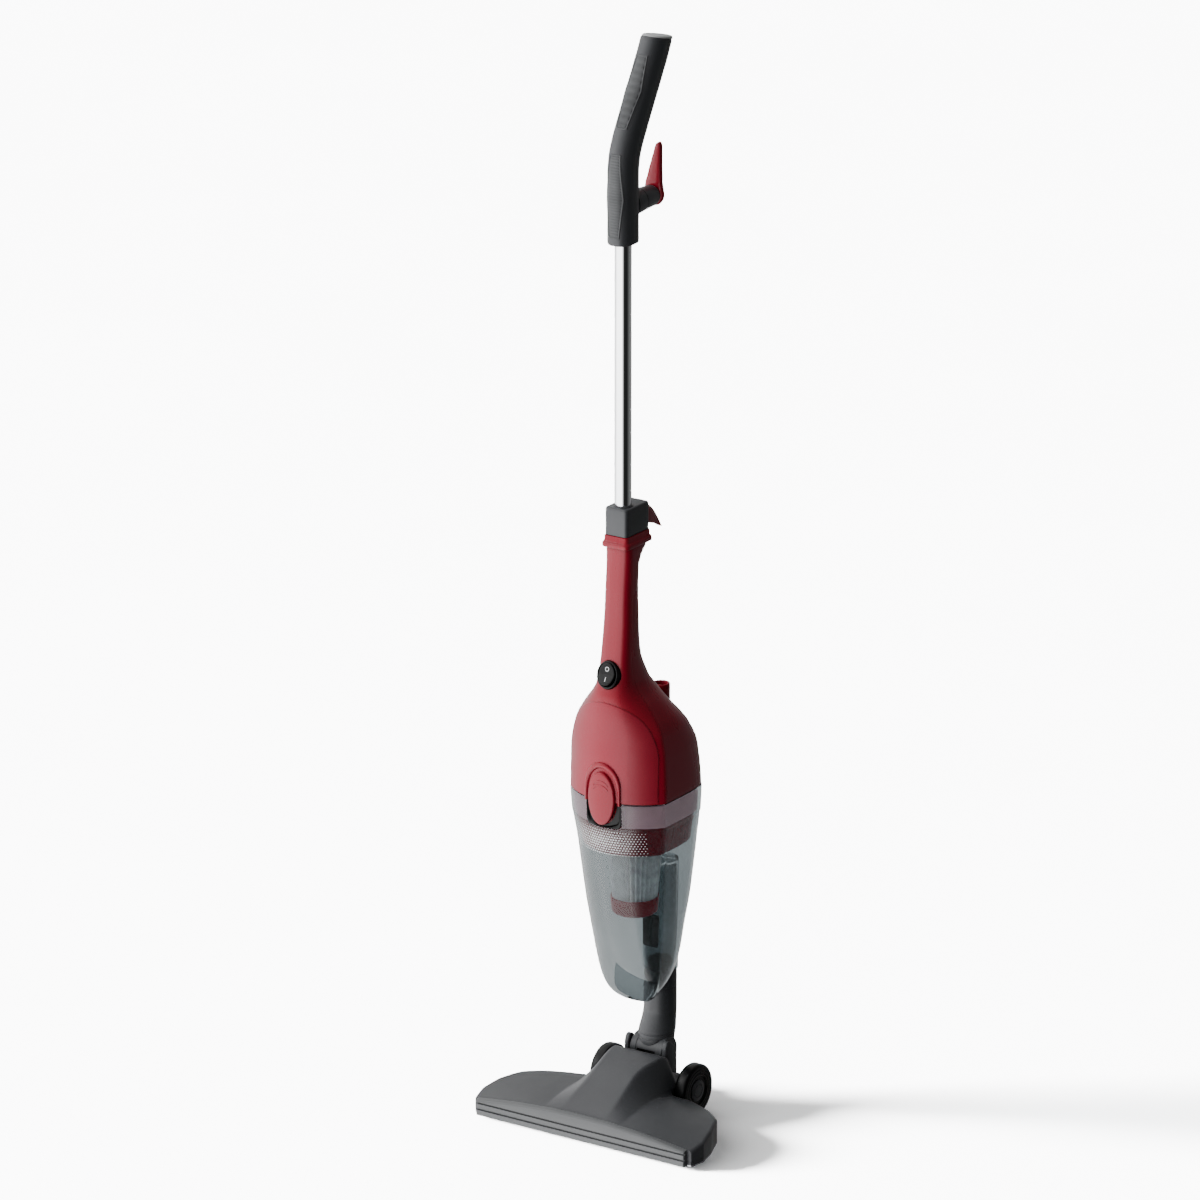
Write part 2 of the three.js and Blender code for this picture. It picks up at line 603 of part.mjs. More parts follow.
const OUTLET = { y: 150, radius: 9, bore: 6.5, bottom: 388, top: 452 };
const VENT_HEIGHTS = [362, 366.4, 370.8, 375.2];

const outerBody = bodyLoft(BODY_HEIGHTS, 0);
const innerBody = bodyLoft([350, ...BODY_HEIGHTS, 620], WALL);
const shell = outerBody.subtract(innerBody);

function shellFront() {
  return shell
    .intersect(frontOfSplit)
    .subtract(bezelPrism(GAP))
    .subtract(onSwitchAxis(12.9, 14.7, -20, 30));
}

function shellRear() {
  const vents = VENT_HEIGHTS.map((z) => box(-26, 26, 140, 170, z, z + 2.2));
  const outlet = upright(0, OUTLET.y, OUTLET.bottom - GAP, 480, OUTLET.radius + GAP);
  return [outlet, ...vents].reduce((rear, cut) => rear.subtract(cut), shell.intersect(behindSplit));
}

add("shell_front", paint.red(), shellFront());
add("shell_rear", paint.red(), shellRear());

// A thin raised panel with an arched top, wrapped on the front shell.
function badgePanel() {
  const arch = new THREE.Shape();
  arch.moveTo(-52, 345);
  arch.lineTo(52, 345);
  arch.lineTo(52, 400);
  arch.absellipse(0, 400, 52, 60, 0, Math.PI);
  const heights = [356.3, 385, 408, 424, 435, 446, 456, 466];
  const skin = bodyLoft(heights, -1.2).subtract(bodyLoft([350, ...heights, 470], -GAP));
  const inFront = box(-80, 80, 0, SPLIT_Y - 4, 340, 480);
  return skin.intersect(inFront).intersect(prism(arch, "y", 0, 100)).subtract(bezelPrism(GAP));
}

add("badge_panel", paint.red(), badgePanel());

// ---------------------------------------------------------------- hand unit: button and switch

const BUTTON_HEIGHTS = [BIN_BAND, BIN_TOP, 400];
const buttonLoft = (inset) => loft(BUTTON_HEIGHTS.map((z) => section(z > BIN_TOP ? BODY : BIN, z, inset)));
const buttonPrism = (grow) =>
  prism(oval(0, BUTTON.z, BUTTON.halfWidth + grow, BUTTON.halfHeight + grow), "y", 20, 66);

function buttonBezel() {
  const block = buttonLoft(-2.6).subtract(buttonLoft(3.2)).intersect(bezelPrism(0));
  return block.subtract(buttonPrism(0.5)).intersect(box(-80, 80, 0, 66, 300, 420));
}

add("button_bezel", paint.red(), buttonBezel());
add("release_button", paint.red(), buttonLoft(-5.2).subtract(buttonLoft(0.4)).intersect(buttonPrism(0)));

function spring(x, z, y0, y1, radius, wire, turns) {
  const points = Array.from({ length: turns * 8 + 1 }, (_, i) => {
    const angle = (i / 8) * 2 * Math.PI;
    const y = y0 + ((y1 - y0) * i) / (turns * 8);
    return vec(x + radius * Math.cos(angle), y, z + radius * Math.sin(angle));
  });
  const ring = polygon(oval(0, 0, wire, wire, 6));
  const path = new THREE.CatmullRomCurve3(points);
  return solid(new THREE.ExtrudeGeometry(ring, { steps: turns * 10, bevelEnabled: false, extrudePath: path }));
}

add("release_spring", paint.steel(), spring(0, BUTTON.z, 44.4, 47.4, 4.5, 0.4, 3));

add("switch_bezel", paint.black(), onSwitchAxis(12.5, 14.3, -4, 4.4).subtract(onSwitchAxis(10.1, 12.5, -8, 8)));

// The rocker's face is a shallow V; at rest its upper end is pressed in, which is off.
function powerSwitch() {
  const key = prism(oval(0, 0, 9.3, 11.5), "y", -7.2, 3);
  const dish = prism([[-12, -14], [-7.8, -14], [-6.2, 0], [-7.8, 14], [-12, 14]], "x", -12, 12);
  return key.subtract(dish).rotate([-SWITCH.lean - SWITCH.throw, 0, 0]).translate([0, SWITCH.y, SWITCH.z]);
}

add("power_switch", paint.black(), powerSwitch());
add("switch_body", paint.black(), box(-8, 8, 62.5, 82, 477, 496));

// ---------------------------------------------------------------- hand unit: ring, cord outlet, base

const RING = { half: 16.5, front: 63, rear: 111 };
const SPIGOT = { half: 9.6, front: 69.6, rear: 90 };

add("neck_ring", paint.red(),
  prism(roundedRectangle(-RING.half, RING.half, RING.front, RING.rear, 6), "z", NECK_TOP, RING_TOP)
    .subtract(box(-SPIGOT.half - GAP, SPIGOT.half + GAP, SPIGOT.front - GAP, SPIGOT.rear + GAP, 600, 640)));

function cordOutlet() {
  const tube = upright(0, OUTLET.y, OUTLET.bottom, OUTLET.top, OUTLET.radius, OUTLET.radius, 24);
  const bore = upright(0, OUTLET.y, OUTLET.bottom + 3, OUTLET.top + 5, OUTLET.bore, OUTLET.bore, 24);
  const leadHole = box(-3, 3, OUTLET.y - 12, OUTLET.y, OUTLET.bottom + 3, OUTLET.bottom + 9);
  return tube.subtract(bore).subtract(leadHole);
}

add("cord_outlet", paint.red(), cordOutlet());

const BASE = { bottom: 298, deck: 303, top: 352, inset: 5.6 };
const FRAME = { outer: 31.5, inner: 26, bottom: FILTER.top + GAP, top: 309 };

// The hand unit's floor: a skirt inside the bin's rim, and a deck that the filter plugs into.
function motorBase() {
  const z = [BASE.bottom, BIN_BAND, BASE.top];
  const skirt = loft(z.map((height) => section(BIN, height, BASE.inset)));
  const inner = [BASE.deck, BIN_BAND, BASE.top + 1];
  const cavity = loft(inner.map((height) => section(BIN, height, BASE.inset + WALL)));
  const mouth = upright(0, FILTER.y, 280, 320, FRAME.outer + GAP, FRAME.outer + GAP, 28);
  return skirt.subtract(cavity).subtract(mouth);
}

add("motor_base", paint.red(), motorBase());

function rimLiner() {
  const heights = [330, 342, 354];
  const outside = loft(heights.map((z) => section(BIN, z, BIN_WALL + 0.6)));
  const inside = loft([329, 342, 355].map((z) => section(BIN, z, BASE.inset - GAP)));
  return outside.subtract(inside).subtract(bezelPrism(GAP));
}

add("rim_liner", paint.capGrey(), rimLiner());

// ---------------------------------------------------------------- hand unit: motor

const FAN = { radius: 42, bottom: 360, top: 382 };
const CAN = { radius: 32, bottom: 382.4, top: 424 };

function ringAt(z0, z1, outer, inner, segments = 20) {
  return upright(0, MOTOR_Y, z0, z1, outer, outer, segments)
    .subtract(upright(0, MOTOR_Y, z0 - 1, z1 + 1, inner, inner, segments));
}

add("motor_mount", paint.rubber(), ringAt(BASE.top + 1, FAN.bottom - GAP, 40, 33));

function fanHousing() {
  const drum = upright(0, MOTOR_Y, FAN.bottom, FAN.top, FAN.radius, FAN.radius, 28);
  const chamber = upright(0, MOTOR_Y, FAN.bottom + 1.6, FAN.top - 1.6, FAN.radius - 1.8, FAN.radius - 1.8, 28);
  const inlet = upright(0, MOTOR_Y, FAN.bottom - 5, FAN.top + 5, 13, 13, 24);
  return drum.subtract(chamber).subtract(inlet);
}

add("fan_housing", paint.steel(), fanHousing());

function motorCan() {
  const can = upright(0, MOTOR_Y, CAN.bottom, CAN.top, CAN.radius);
  const inside = upright(0, MOTOR_Y, CAN.bottom - 1, CAN.top - 2, CAN.radius - 1.8);
  const bearing = upright(0, MOTOR_Y, CAN.top - 5, CAN.top + 5, 5);
  return can.subtract(inside).subtract(bearing);
}

add("motor_can", paint.steel(), motorCan());
add("stator", paint.steel(), ringAt(392, 414, 29.4, 19));

add("motor_shaft", paint.steel(), upright(0, MOTOR_Y, 364, 427, 2.5, 2.5, 16));
add("armature", paint.copper(), ringAt(388, 418, 17.5, 2.9));

function impeller() {
  const disc = ringAt(376, 378, 37, 2.9, 24).add(ringAt(366, 377, 8, 2.9, 24));
  const blade = box(7, 36, -0.7, 0.7, 367, 377);
  const blades = Array.from({ length: 8 }, (_, i) =>
    blade.rotate([0, 0, i * 45]).translate([0, MOTOR_Y, 0]),
  );
  return blades.reduce((wheel, one) => wheel.add(one), disc);
}

add("impeller", paint.steel(), impeller());
add("exhaust_filter", paint.rubber(), box(-28, 28, 146, 150.5, 359, 380));

// ---------------------------------------------------------------- filter

const PLEATS = 26;

function pleatRing(z, radius) {
  return Array.from({ length: PLEATS * 2 }, (_, i) => {
    const angle = (i / (PLEATS * 2)) * 2 * Math.PI;
    const r = i % 2 ? radius - 2.4 : radius;
    return vec(r * Math.cos(angle), FILTER.y + r * Math.sin(angle), z);
  });
}

const filterPleats = loft([pleatRing(FILTER.bottom, FILTER.bottomRadius), pleatRing(FILTER.top, FILTER.topRadius)]);
const filterBore = upright(0, FILTER.y, FILTER.bottom + 3, FILTER.top + 1, 18, 22.5);

add("filter_pleats", paint.paper(), filterPleats.subtract(filterBore));

add("filter_frame", paint.red(), turned([
  [FRAME.inner, FRAME.bottom], [FRAME.outer - 2.5, FRAME.bottom], [FRAME.outer, FRAME.bottom + 3],
  [FRAME.outer, FRAME.top], [FRAME.inner, FRAME.top],
], 0, FILTER.y));

const CAP = { radius: 24.6, bottom: 221, rim: 239 };

add("filter_cap", paint.red(), turned([
  [0, CAP.bottom], [21.5, CAP.bottom], [23.6, CAP.bottom + 2], [CAP.radius, CAP.rim],
  [FILTER.bottomRadius + 0.6, CAP.rim], [FILTER.bottomRadius + 0.6, FILTER.bottom - GAP], [0, FILTER.bottom - GAP],
], 0, FILTER.y));

// ---------------------------------------------------------------- stick: collar and tube

const COLLAR = { half: 13.5, front: 66, rear: 108 };

function stickCollar() {
  const block = prism(roundedRectangle(-COLLAR.half, COLLAR.half, COLLAR.front, COLLAR.rear, 4), "z",
    RING_TOP + GAP, COLLAR_TOP);
  const spigot = prism(roundedRectangle(-SPIGOT.half, SPIGOT.half, SPIGOT.front, SPIGOT.rear, 3), "z",
    600, RING_TOP + 1);
  const socket = upright(0, TUBE.y, TUBE.bottom - GAP, 670, TUBE.radius + GAP);
  const beakSlot = box(-5.3, 5.3, 104, 120, 626, 656);
  return block.add(spigot).subtract(socket).subtract(beakSlot);
}

add("stick_collar", paint.darkGrey(), stickCollar());

const beak = new THREE.Shape();
beak.moveTo(104.3, 630);
beak.lineTo(104.3, 655.6);
beak.lineTo(108.3, 655.6);
beak.quadraticCurveTo(131, 648, 147, 619);
beak.quadraticCurveTo(138, 627, 129.6, 625.5);
beak.quadraticCurveTo(116, 630, 108.3, 630);
add("lower_cord_hook", paint.red(), prism(beak, "x", -5, 5));

add("extension_tube", paint.chrome(),
  upright(0, TUBE.y, TUBE.bottom, TUBE.top, TUBE.radius)
    .subtract(upright(0, TUBE.y, TUBE.bottom - 1, TUBE.top + 1, TUBE.bore))
    .subtract(rod(vec(0, 84, LOCK_Z), vec(0, 96, LOCK_Z), 3.3)));

// ---------------------------------------------------------------- stick: grip

// Centre line of the grip in (y, z) with the lean of its cross-section from level, in degrees.
const GRIP_LINE = [
  [79.5, GRIP_BOTTOM, 0], [79.5, 970, 0], [79.5, 1000, 3], [81, 1013, 12], [83.4, 1022, 20],
  [87.6, 1031.6, 27], [97.3, 1049.6, 29.5], [117.7, 1085.5, 29.5], [132.6, 1112, 24], [138.6, 1124, 15],
];
const GRIP = { halfX: 13.9, halfY: 17.2, power: 2.3, segments: 20 };

function gripRing([y, z, lean], inset) {
  const tilt = rad(lean);
  return Array.from({ length: GRIP.segments }, (_, i) => {
    const angle = (i / GRIP.segments) * 2 * Math.PI;
    const squared = (v) => Math.sign(v) * Math.abs(v) ** (2 / GRIP.power);
    const across = (GRIP.halfX - inset) * squared(Math.cos(angle));
    const along = (GRIP.halfY - inset) * squared(Math.sin(angle));
    return vec(across, y + along * Math.cos(tilt), z - along * Math.sin(tilt));
  });
}

const gripBody = (inset, line = GRIP_LINE) => loft(line.map((station) => gripRing(station, inset)));

// Hexagonal pads on the front of the grip, seen from the front: widest in the middle.
const PADS = {
  lower: { bottom: 937, middle: 977, top: 1022, end: 6.3, widest: 10.2 },
  upper: { bottom: 1045, middle: 1079, top: 1112, end: 6.3, widest: 9.6 },
};

const padOutline = ({ bottom, middle, top, end, widest }, grow) => [
  [end + grow, bottom - grow], [widest + grow, middle], [end + grow, top + grow],
  [-end - grow, top + grow], [-widest - grow, middle], [-end - grow, bottom - grow],
];

const gripFront = loft([[0, 900, 0], [0, 1000, 0], [4, 1022, 0], [60, 1126, 0]].map(([y, z]) => [
  vec(-20, 40 + y, z), vec(20, 40 + y, z), vec(20, 78 + y, z), vec(-20, 78 + y, z),
]));

function padBlock(pad, grow) {
  return prism(padOutline(pad, grow), "y", 40, 140).intersect(gripFront);
}

const padPocket = (pad) => padBlock(pad, GAP).subtract(gripBody(1.6));

function grip() {
  const tubeSocket = upright(0, TUBE.y, 920, TUBE.top + GAP, TUBE.radius + GAP);
  const buttonHole = rod(vec(0, 86, LOCK_Z), vec(0, 110, LOCK_Z), 3.3);
  return gripBody(0)
    .subtract(tubeSocket)
    .subtract(buttonHole)
    .subtract(padPocket(PADS.lower))
    .subtract(padPocket(PADS.upper));
}

add("grip", paint.darkGrey(), grip());

for (const name of ["lower", "upper"]) {
  const pad = gripBody(-0.4).subtract(gripBody(1.6 - GAP)).intersect(padBlock(PADS[name], 0));
  add("grip_insert_" + name, paint.rubber(), pad);
}

const CAP_LINE = [[138.9, 1124.2, 15], [140.5, 1126.9, 11]];
add("grip_end_cap", paint.capGrey(), loft(CAP_LINE.map((station, i) => gripRing(station, i * 1.2))));

// ---------------------------------------------------------------- stick: hook post, cord hook, lock button

const postCore = rod(vec(0, 92, HOOK.z), vec(0, HOOK.postEnd, HOOK.z), 13, 10.6);
const hookPin = rod(vec(0, HOOK.postEnd - 1, HOOK.z), vec(0, HOOK.postEnd + 4, HOOK.z), 3.6, 3.6, 20);
add("hook_post", paint.darkGrey(), postCore.subtract(gripBody(-GAP)).add(hookPin));

// A tapering plate with a round bottom end that turns on the post, leaning back towards its tip.
function cordHook() {
  const outline = new THREE.Shape();
  outline.moveTo(11.4, HOOK.z);
  outline.lineTo(3.2, 1014);
  outline.absarc(0, 1014, 3.2, 0, Math.PI);
  outline.lineTo(-11.4, HOOK.z);
  outline.absarc(0, HOOK.z, 11.4, Math.PI, 2 * Math.PI);
  const side = [[131, 950], [138, 950], [139.4, 985], [147, 1020], [141, 1020], [131, 985]];
  const pinHole = rod(vec(0, 120, HOOK.z), vec(0, 135.4, HOOK.z), 3.6 + GAP, 3.6 + GAP, 20);
  return prism(outline, "y", 120, 160).intersect(prism(side, "x", -20, 20)).subtract(pinHole);
}

add("upper_cord_hook", paint.red(), cordHook());
add("tube_button", paint.black(), rod(vec(0, 87, LOCK_Z), vec(0, 99, LOCK_Z), 2.8, 2.3));

export default cleaner;
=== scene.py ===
"""Stick vacuum cleaner: the looks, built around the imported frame.

Lengths in this script are millimetres unless a name ends in _m; at() turns them into metres in the frame.
Y is counted from the front edge of the floor head, as in the CAD model.
"""

import json
import random
from math import copysign, cos, dist, hypot, pi, radians, sin, sqrt

import bmesh
import bpy
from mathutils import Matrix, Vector


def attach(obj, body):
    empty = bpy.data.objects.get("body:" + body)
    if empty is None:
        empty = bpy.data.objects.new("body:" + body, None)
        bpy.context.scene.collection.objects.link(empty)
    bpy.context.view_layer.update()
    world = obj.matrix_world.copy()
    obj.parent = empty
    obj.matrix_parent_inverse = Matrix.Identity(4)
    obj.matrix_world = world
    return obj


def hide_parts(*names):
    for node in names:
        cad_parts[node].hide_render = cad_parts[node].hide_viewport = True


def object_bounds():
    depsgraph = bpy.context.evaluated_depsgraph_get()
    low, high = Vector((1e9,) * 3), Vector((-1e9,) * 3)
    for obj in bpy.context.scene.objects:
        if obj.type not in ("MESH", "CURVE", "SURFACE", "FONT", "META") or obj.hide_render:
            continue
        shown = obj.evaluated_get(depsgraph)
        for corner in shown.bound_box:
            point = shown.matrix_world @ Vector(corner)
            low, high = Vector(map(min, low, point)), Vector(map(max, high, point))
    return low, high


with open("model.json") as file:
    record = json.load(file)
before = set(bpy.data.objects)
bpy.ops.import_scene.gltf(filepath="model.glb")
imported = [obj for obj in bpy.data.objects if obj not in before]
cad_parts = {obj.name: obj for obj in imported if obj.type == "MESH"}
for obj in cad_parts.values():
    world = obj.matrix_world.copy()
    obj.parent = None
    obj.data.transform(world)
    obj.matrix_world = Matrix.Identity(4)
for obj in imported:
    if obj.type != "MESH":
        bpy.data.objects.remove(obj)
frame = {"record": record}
cad_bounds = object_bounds()
FRONT_Y_M = cad_bounds[0][1]
MM = 0.001


def at(x, y, z):
    """A point in the frame, in metres, from millimetres counted from the head's front edge."""
    return Vector((x * MM, FRONT_Y_M + y * MM, z * MM))


# ---- camera, lights and floor

CAMERA_AZIMUTH = 33.7
CAMERA_ELEVATION = 18.5
CAMERA_DISTANCE_M = 7.991
CAMERA_LENS = 240
CAMERA_TARGET_M = (-0.0276, -0.005, 0.5537)


def direction(azimuth, elevation):
    """Unit vector from the object towards a viewer; azimuth 0 stands in front of the object."""
    a = radians(azimuth)
    e = radians(elevation)
    return Vector((sin(a) * cos(e), -cos(a) * cos(e), sin(e)))


def aim(obj, target):
    """Turns a camera or a light to look at a point."""
    obj.rotation_euler = (target - obj.location).to_track_quat("-Z", "Y").to_euler()


def add_object(name, data):
    obj = bpy.data.objects.new(name, data)
    bpy.context.scene.collection.objects.link(obj)
    return obj


def add_camera():
    data = bpy.data.cameras.new("camera")
    data.lens = CAMERA_LENS
    data.clip_end = 50
    camera = add_object("camera", data)
    target = Vector(CAMERA_TARGET_M)
    camera.location = target + direction(CAMERA_AZIMUTH, CAMERA_ELEVATION) * CAMERA_DISTANCE_M
    aim(camera, target)
    bpy.context.scene.camera = camera


def add_area_light(name, azimuth, elevation, distance, size, size_y, power, height=0.55):
    data = bpy.data.lights.new(name, "AREA")
    data.shape = "RECTANGLE"
    data.size = size
    data.size_y = size_y
    data.energy = power
    light = add_object(name, data)
    target = Vector((0, 0, height))
    light.location = target + direction(azimuth, elevation) * distance
    aim(light, target)


# Azimuth round the object, in degrees from its front towards its right, and brightness of the studio there:
# seen by upright faces, and seen from above.
STUDIO_LOW = [
    (-180, 0.3), (-142, 0.4), (-122, 1.6), (-98, 2.4), (-76, 3.6), (-56, 6.0), (14, 6.0), (24, 2.4),
    (34, 0.5), (44, 0.02), (88, 0.02), (104, 0.09), (120, 0.15), (160, 0.3), (180, 0.3),
]
STUDIO_HIGH = [
    (-180, 0.5), (-145, 0.8), (-120, 2.6), (-95, 3.2), (-45, 3.0), (-5, 1.8), (22, 0.6), (55, 0.15),
    (150, 0.15), (180, 0.5),
]
# Heights of a direction between which the lower band gives way to the upper one.
HORIZON = (-0.08, 0.12)
# Brightness of the world as the camera sees it, and as it is seen through the clear bin.
BACKDROP = 11
SEEN_THROUGH = 0.75


# The Mix node has sockets of one name for each data type; these are its two colours and its result.
MIX_COLOR_INPUTS = (6, 7)
MIX_COLOR_OUTPUT = 2


def add_world():
    """A pale studio whose panels show as long soft highlights, with a dark gap on the right."""
    world = bpy.data.worlds.new("studio")
    bpy.context.scene.world = world
    world.use_nodes = True
    tree = Tree(world.node_tree)
    tree.nodes.clear()
    out = tree.new("ShaderNodeOutputWorld")
    coords = tree.new("ShaderNodeTexCoord")
    split = tree.new("ShaderNodeSeparateXYZ")
    tree.link(coords, "Generated", split, "Vector")
    back = tree.new("ShaderNodeMath", operation="MULTIPLY")
    back.inputs[1].default_value = -1
    tree.link(split, "Y", back, 0)
    azimuth = tree.new("ShaderNodeMath", operation="ARCTAN2")
    tree.link(split, "X", azimuth, 0)
    tree.link(back, "Value", azimuth, 1)
    turn = tree.new("ShaderNodeMapRange", **{"From Min": -pi, "From Max": pi})
    tree.link(azimuth, "Value", turn, "Value")
    peak = max(level for _, level in STUDIO_LOW + STUDIO_HIGH)
    bands = []
    for stops in (STUDIO_LOW, STUDIO_HIGH):
        ramp = tree.ramp([((az + 180) / 360, (*[level / peak] * 3, 1)) for az, level in stops])
        tree.link(turn, "Result", ramp, "Fac")
        bands.append(ramp)
    lift = tree.new("ShaderNodeMapRange", **{"From Min": HORIZON[0], "From Max": HORIZON[1]})
    tree.link(split, "Z", lift, "Value")
    both = tree.new("ShaderNodeMix", data_type="RGBA")
    tree.link(lift, "Result", both, "Factor")
    for band, entry in zip(bands, MIX_COLOR_INPUTS):
        tree.link(band, "Color", both, entry)
    studio = tree.new("ShaderNodeBackground", Strength=peak)
    tree.link(both, MIX_COLOR_OUTPUT, studio, "Color")
    backdrop = tree.new("ShaderNodeBackground", Color=(1, 1, 1, 1), Strength=BACKDROP)
    path = tree.new("ShaderNodeLightPath")
    through = tree.new("ShaderNodeBackground", Color=(0.97, 1, 1, 1), Strength=SEEN_THROUGH)
    shown = studio
    for ray, seen in (("Is Transmission Ray", through), ("Is Camera Ray", backdrop)):
        mix = tree.new("ShaderNodeMixShader")
        tree.link(path, ray, mix, "Fac")
        tree.link(shown, 0, mix, 1)
        tree.link(seen, 0, mix, 2)
        shown = mix
    tree.link(shown, "Shader", out, "Surface")


class Tree:
    """A node tree with short calls for adding and linking nodes."""

    def __init__(self, tree):
        self.tree = tree
        self.nodes = tree.nodes

    def new(self, kind, **settings):
        node = self.nodes.new(kind)
        for key, value in settings.items():
            if hasattr(node, key) and key[0].islower():
                setattr(node, key, value)
            else:
                node.inputs[key].default_value = value
        return node

    def link(self, source, output, target, entry):
        self.tree.links.new(source.outputs[output], target.inputs[entry])

    def ramp(self, stops):
        node = self.nodes.new("ShaderNodeValToRGB")
        elements = node.color_ramp.elements
        elements[0].position, elements[0].color = stops[0]
        elements[1].position, elements[1].color = stops[-1]
        for position, color in stops[1:-1]:
            elements.new(position).color = color
        return node


# ---- materials

def linear(srgb):
    return tuple(c / 12.92 if c <= 0.04045 else ((c + 0.055) / 1.055) ** 2.4 for c in srgb)


class Finish:
    """One procedural material: a Principled shader fed by object-space textures."""

    def __init__(self, name, roughness, **sockets):
        self.material = bpy.data.materials.new(name)
        self.material.use_nodes = True
        self.tree = Tree(self.material.node_tree)
        self.shader = self.tree.nodes["Principled BSDF"]
        self.roughness = roughness
        for key, value in sockets.items():
            self.shader.inputs[key.replace("_", " ")].default_value = value
        self.coords = self.tree.new("ShaderNodeTexCoord")
        self.bump_chain = None

    def noise(self, scale, detail=3, stretch=(1, 1, 1)):
        mapping = self.tree.new("ShaderNodeMapping", Scale=stretch)
        self.tree.link(self.coords, "Object", mapping, "Vector")
        node = self.tree.new("ShaderNodeTexNoise", Scale=scale, Detail=detail)
        self.tree.link(mapping, "Vector", node, "Vector")
        return node

    def color(self, low, high, scale, stretch=(1, 1, 1), spread=(0.35, 0.65)):
        """Base colour that drifts between two sRGB colours."""
        noise = self.noise(scale, 4, stretch)
        ramp = self.tree.ramp([(spread[0], (*linear(low), 1)), (spread[1], (*linear(high), 1))])
        self.tree.link(noise, "Fac", ramp, "Fac")
        self.tree.link(ramp, "Color", self.shader, "Base Color")
        return self

    def rough(self, scale, amount, stretch=(1, 1, 1)):
        """Roughness that varies around the finish's own value, as handling marks do."""
        noise = self.noise(scale, 5, stretch)
        span = self.tree.new("ShaderNodeMapRange", **{
            "From Min": 0.3, "From Max": 0.7,
            "To Min": self.roughness - amount, "To Max": self.roughness + amount,
        })
        self.tree.link(noise, "Fac", span, "Value")
        self.tree.link(span, "Result", self.shader, "Roughness")
        return self

    def bump(self, texture, output, strength, distance_m):
        node = self.tree.new("ShaderNodeBump", Strength=strength, Distance=distance_m)
        self.tree.link(texture, output, node, "Height")
        if self.bump_chain:
            self.tree.link(self.bump_chain, "Normal", node, "Normal")
        self.bump_chain = node
        self.tree.link(node, "Normal", self.shader, "Normal")
        return self

    def grain(self, scale, strength, distance_m, stretch=(1, 1, 1)):
        return self.bump(self.noise(scale, 2, stretch), "Fac", strength, distance_m)


def satin_plastic(name, dark, light, roughness=0.42, grain=0.25, shine=0.35):
    """Moulded plastic with a fine spark-eroded texture, faint flow marks and rubbed patches."""
    finish = Finish(name, roughness, Specular_IOR_Level=shine)
    finish.color(dark, light, 9, spread=(0.3, 0.7)).rough(26, 0.06)
    finish.grain(2600, grain, 0.00012).grain(60, 0.05, 0.0006)
    return finish.material


def gloss_plastic(name, dark, light):
    """Glossy injection-moulded plastic: clear surface layer, slight orange peel, wiped-dust haze."""
    finish = Finish(name, 0.3, Coat_Weight=0.12, Coat_Roughness=0.08, Specular_IOR_Level=0.14)
    finish.color(dark, light, 6, spread=(0.3, 0.7)).rough(38, 0.05, (1, 1, 0.35))
    finish.grain(240, 0.04, 0.0003)
    return finish.material


def clear_plastic(name, tint, roughness, passed):
    """Smoky transparent plastic, darker where it is seen edge on; lamps shine through it, tinted."""
    finish = Finish(name, roughness, Transmission_Weight=1.0, IOR=1.16, Coat_Weight=0.3, Coat_Roughness=0.03)
    finish.color(tint, tuple(min(1, c * 1.05) for c in tint), 12).rough(70, 0.02)
    finish.grain(45, 0.05, 0.0004)
    tree = finish.tree
    facing = tree.new("ShaderNodeLayerWeight", Blend=0.5)
    edge = tree.ramp([(0.0, (1, 1, 1, 1)), (0.8, (0.9, 0.9, 0.9, 1)), (0.97, (0.3, 0.3, 0.3, 1))])
    tree.link(facing, "Facing", edge, "Fac")
    dimmed = tree.new("ShaderNodeVectorMath", operation="MULTIPLY")
    tint_link = finish.shader.inputs["Base Color"].links[0].from_socket
    tree.tree.links.new(tint_link, dimmed.inputs[0])
    tree.link(edge, "Color", dimmed, 1)
    tree.link(dimmed, "Vector", finish.shader, "Base Color")
    path = tree.new("ShaderNodeLightPath")
    clear = tree.new("ShaderNodeBsdfTransparent", Color=(*passed, 1))
    mix = tree.new("ShaderNodeMixShader")
    tree.link(path, "Is Shadow Ray", mix, "Fac")
    tree.link(finish.shader, "BSDF", mix, 1)
    tree.link(clear, "BSDF", mix, 2)
    tree.link(mix, "Shader", tree.nodes["Material Output"], "Surface")
    return finish.material


def rubber(name, dark, light):
    finish = Finish(name, 0.7, Specular_IOR_Level=0.3)
    finish.color(dark, light, 24).rough(60, 0.08)
    finish.grain(1800, 0.35, 0.00015)
    return finish.material


def chrome(name):
    """Polished chrome on tube: fine draw lines along it and faint smudges."""
    finish = Finish(name, 0.07, Metallic=1.0)
    finish.color((0.84, 0.85, 0.86), (0.93, 0.935, 0.94), 14, (1, 1, 0.2)).rough(30, 0.025, (1, 1, 0.25))
    finish.grain(900, 0.03, 0.0001, (1, 1, 0.02))
    return finish.material


def brushed_metal(name, dark, light, roughness=0.32):
    finish = Finish(name, roughness, Metallic=1.0)
    finish.color(dark, light, 40).rough(90, 0.08)
    finish.grain(700, 0.2, 0.0001, (1, 1, 0.05))
    return finish.material


def paper(name):
    """Folded filter paper: matt, fibrous, slightly grey between the folds."""
    finish = Finish(name, 0.85, Specular_IOR_Level=0.2, Sheen_Weight=0.2)
    finish.color((0.8, 0.805, 0.81), (0.9, 0.905, 0.91), 160).rough(120, 0.06)
    finish.grain(1500, 0.5, 0.0002)
    return finish.material


def foam(name):
    finish = Finish(name, 0.95, Specular_IOR_Level=0.1)
    finish.color((0.1, 0.1, 0.11), (0.2, 0.2, 0.21), 300)
    cells = finish.tree.new("ShaderNodeTexVoronoi", Scale=900)
    finish.tree.link(finish.coords, "Object", cells, "Vector")
    return finish.rough(80, 0.03).bump(cells, "Distance", 0.8, 0.0006).material


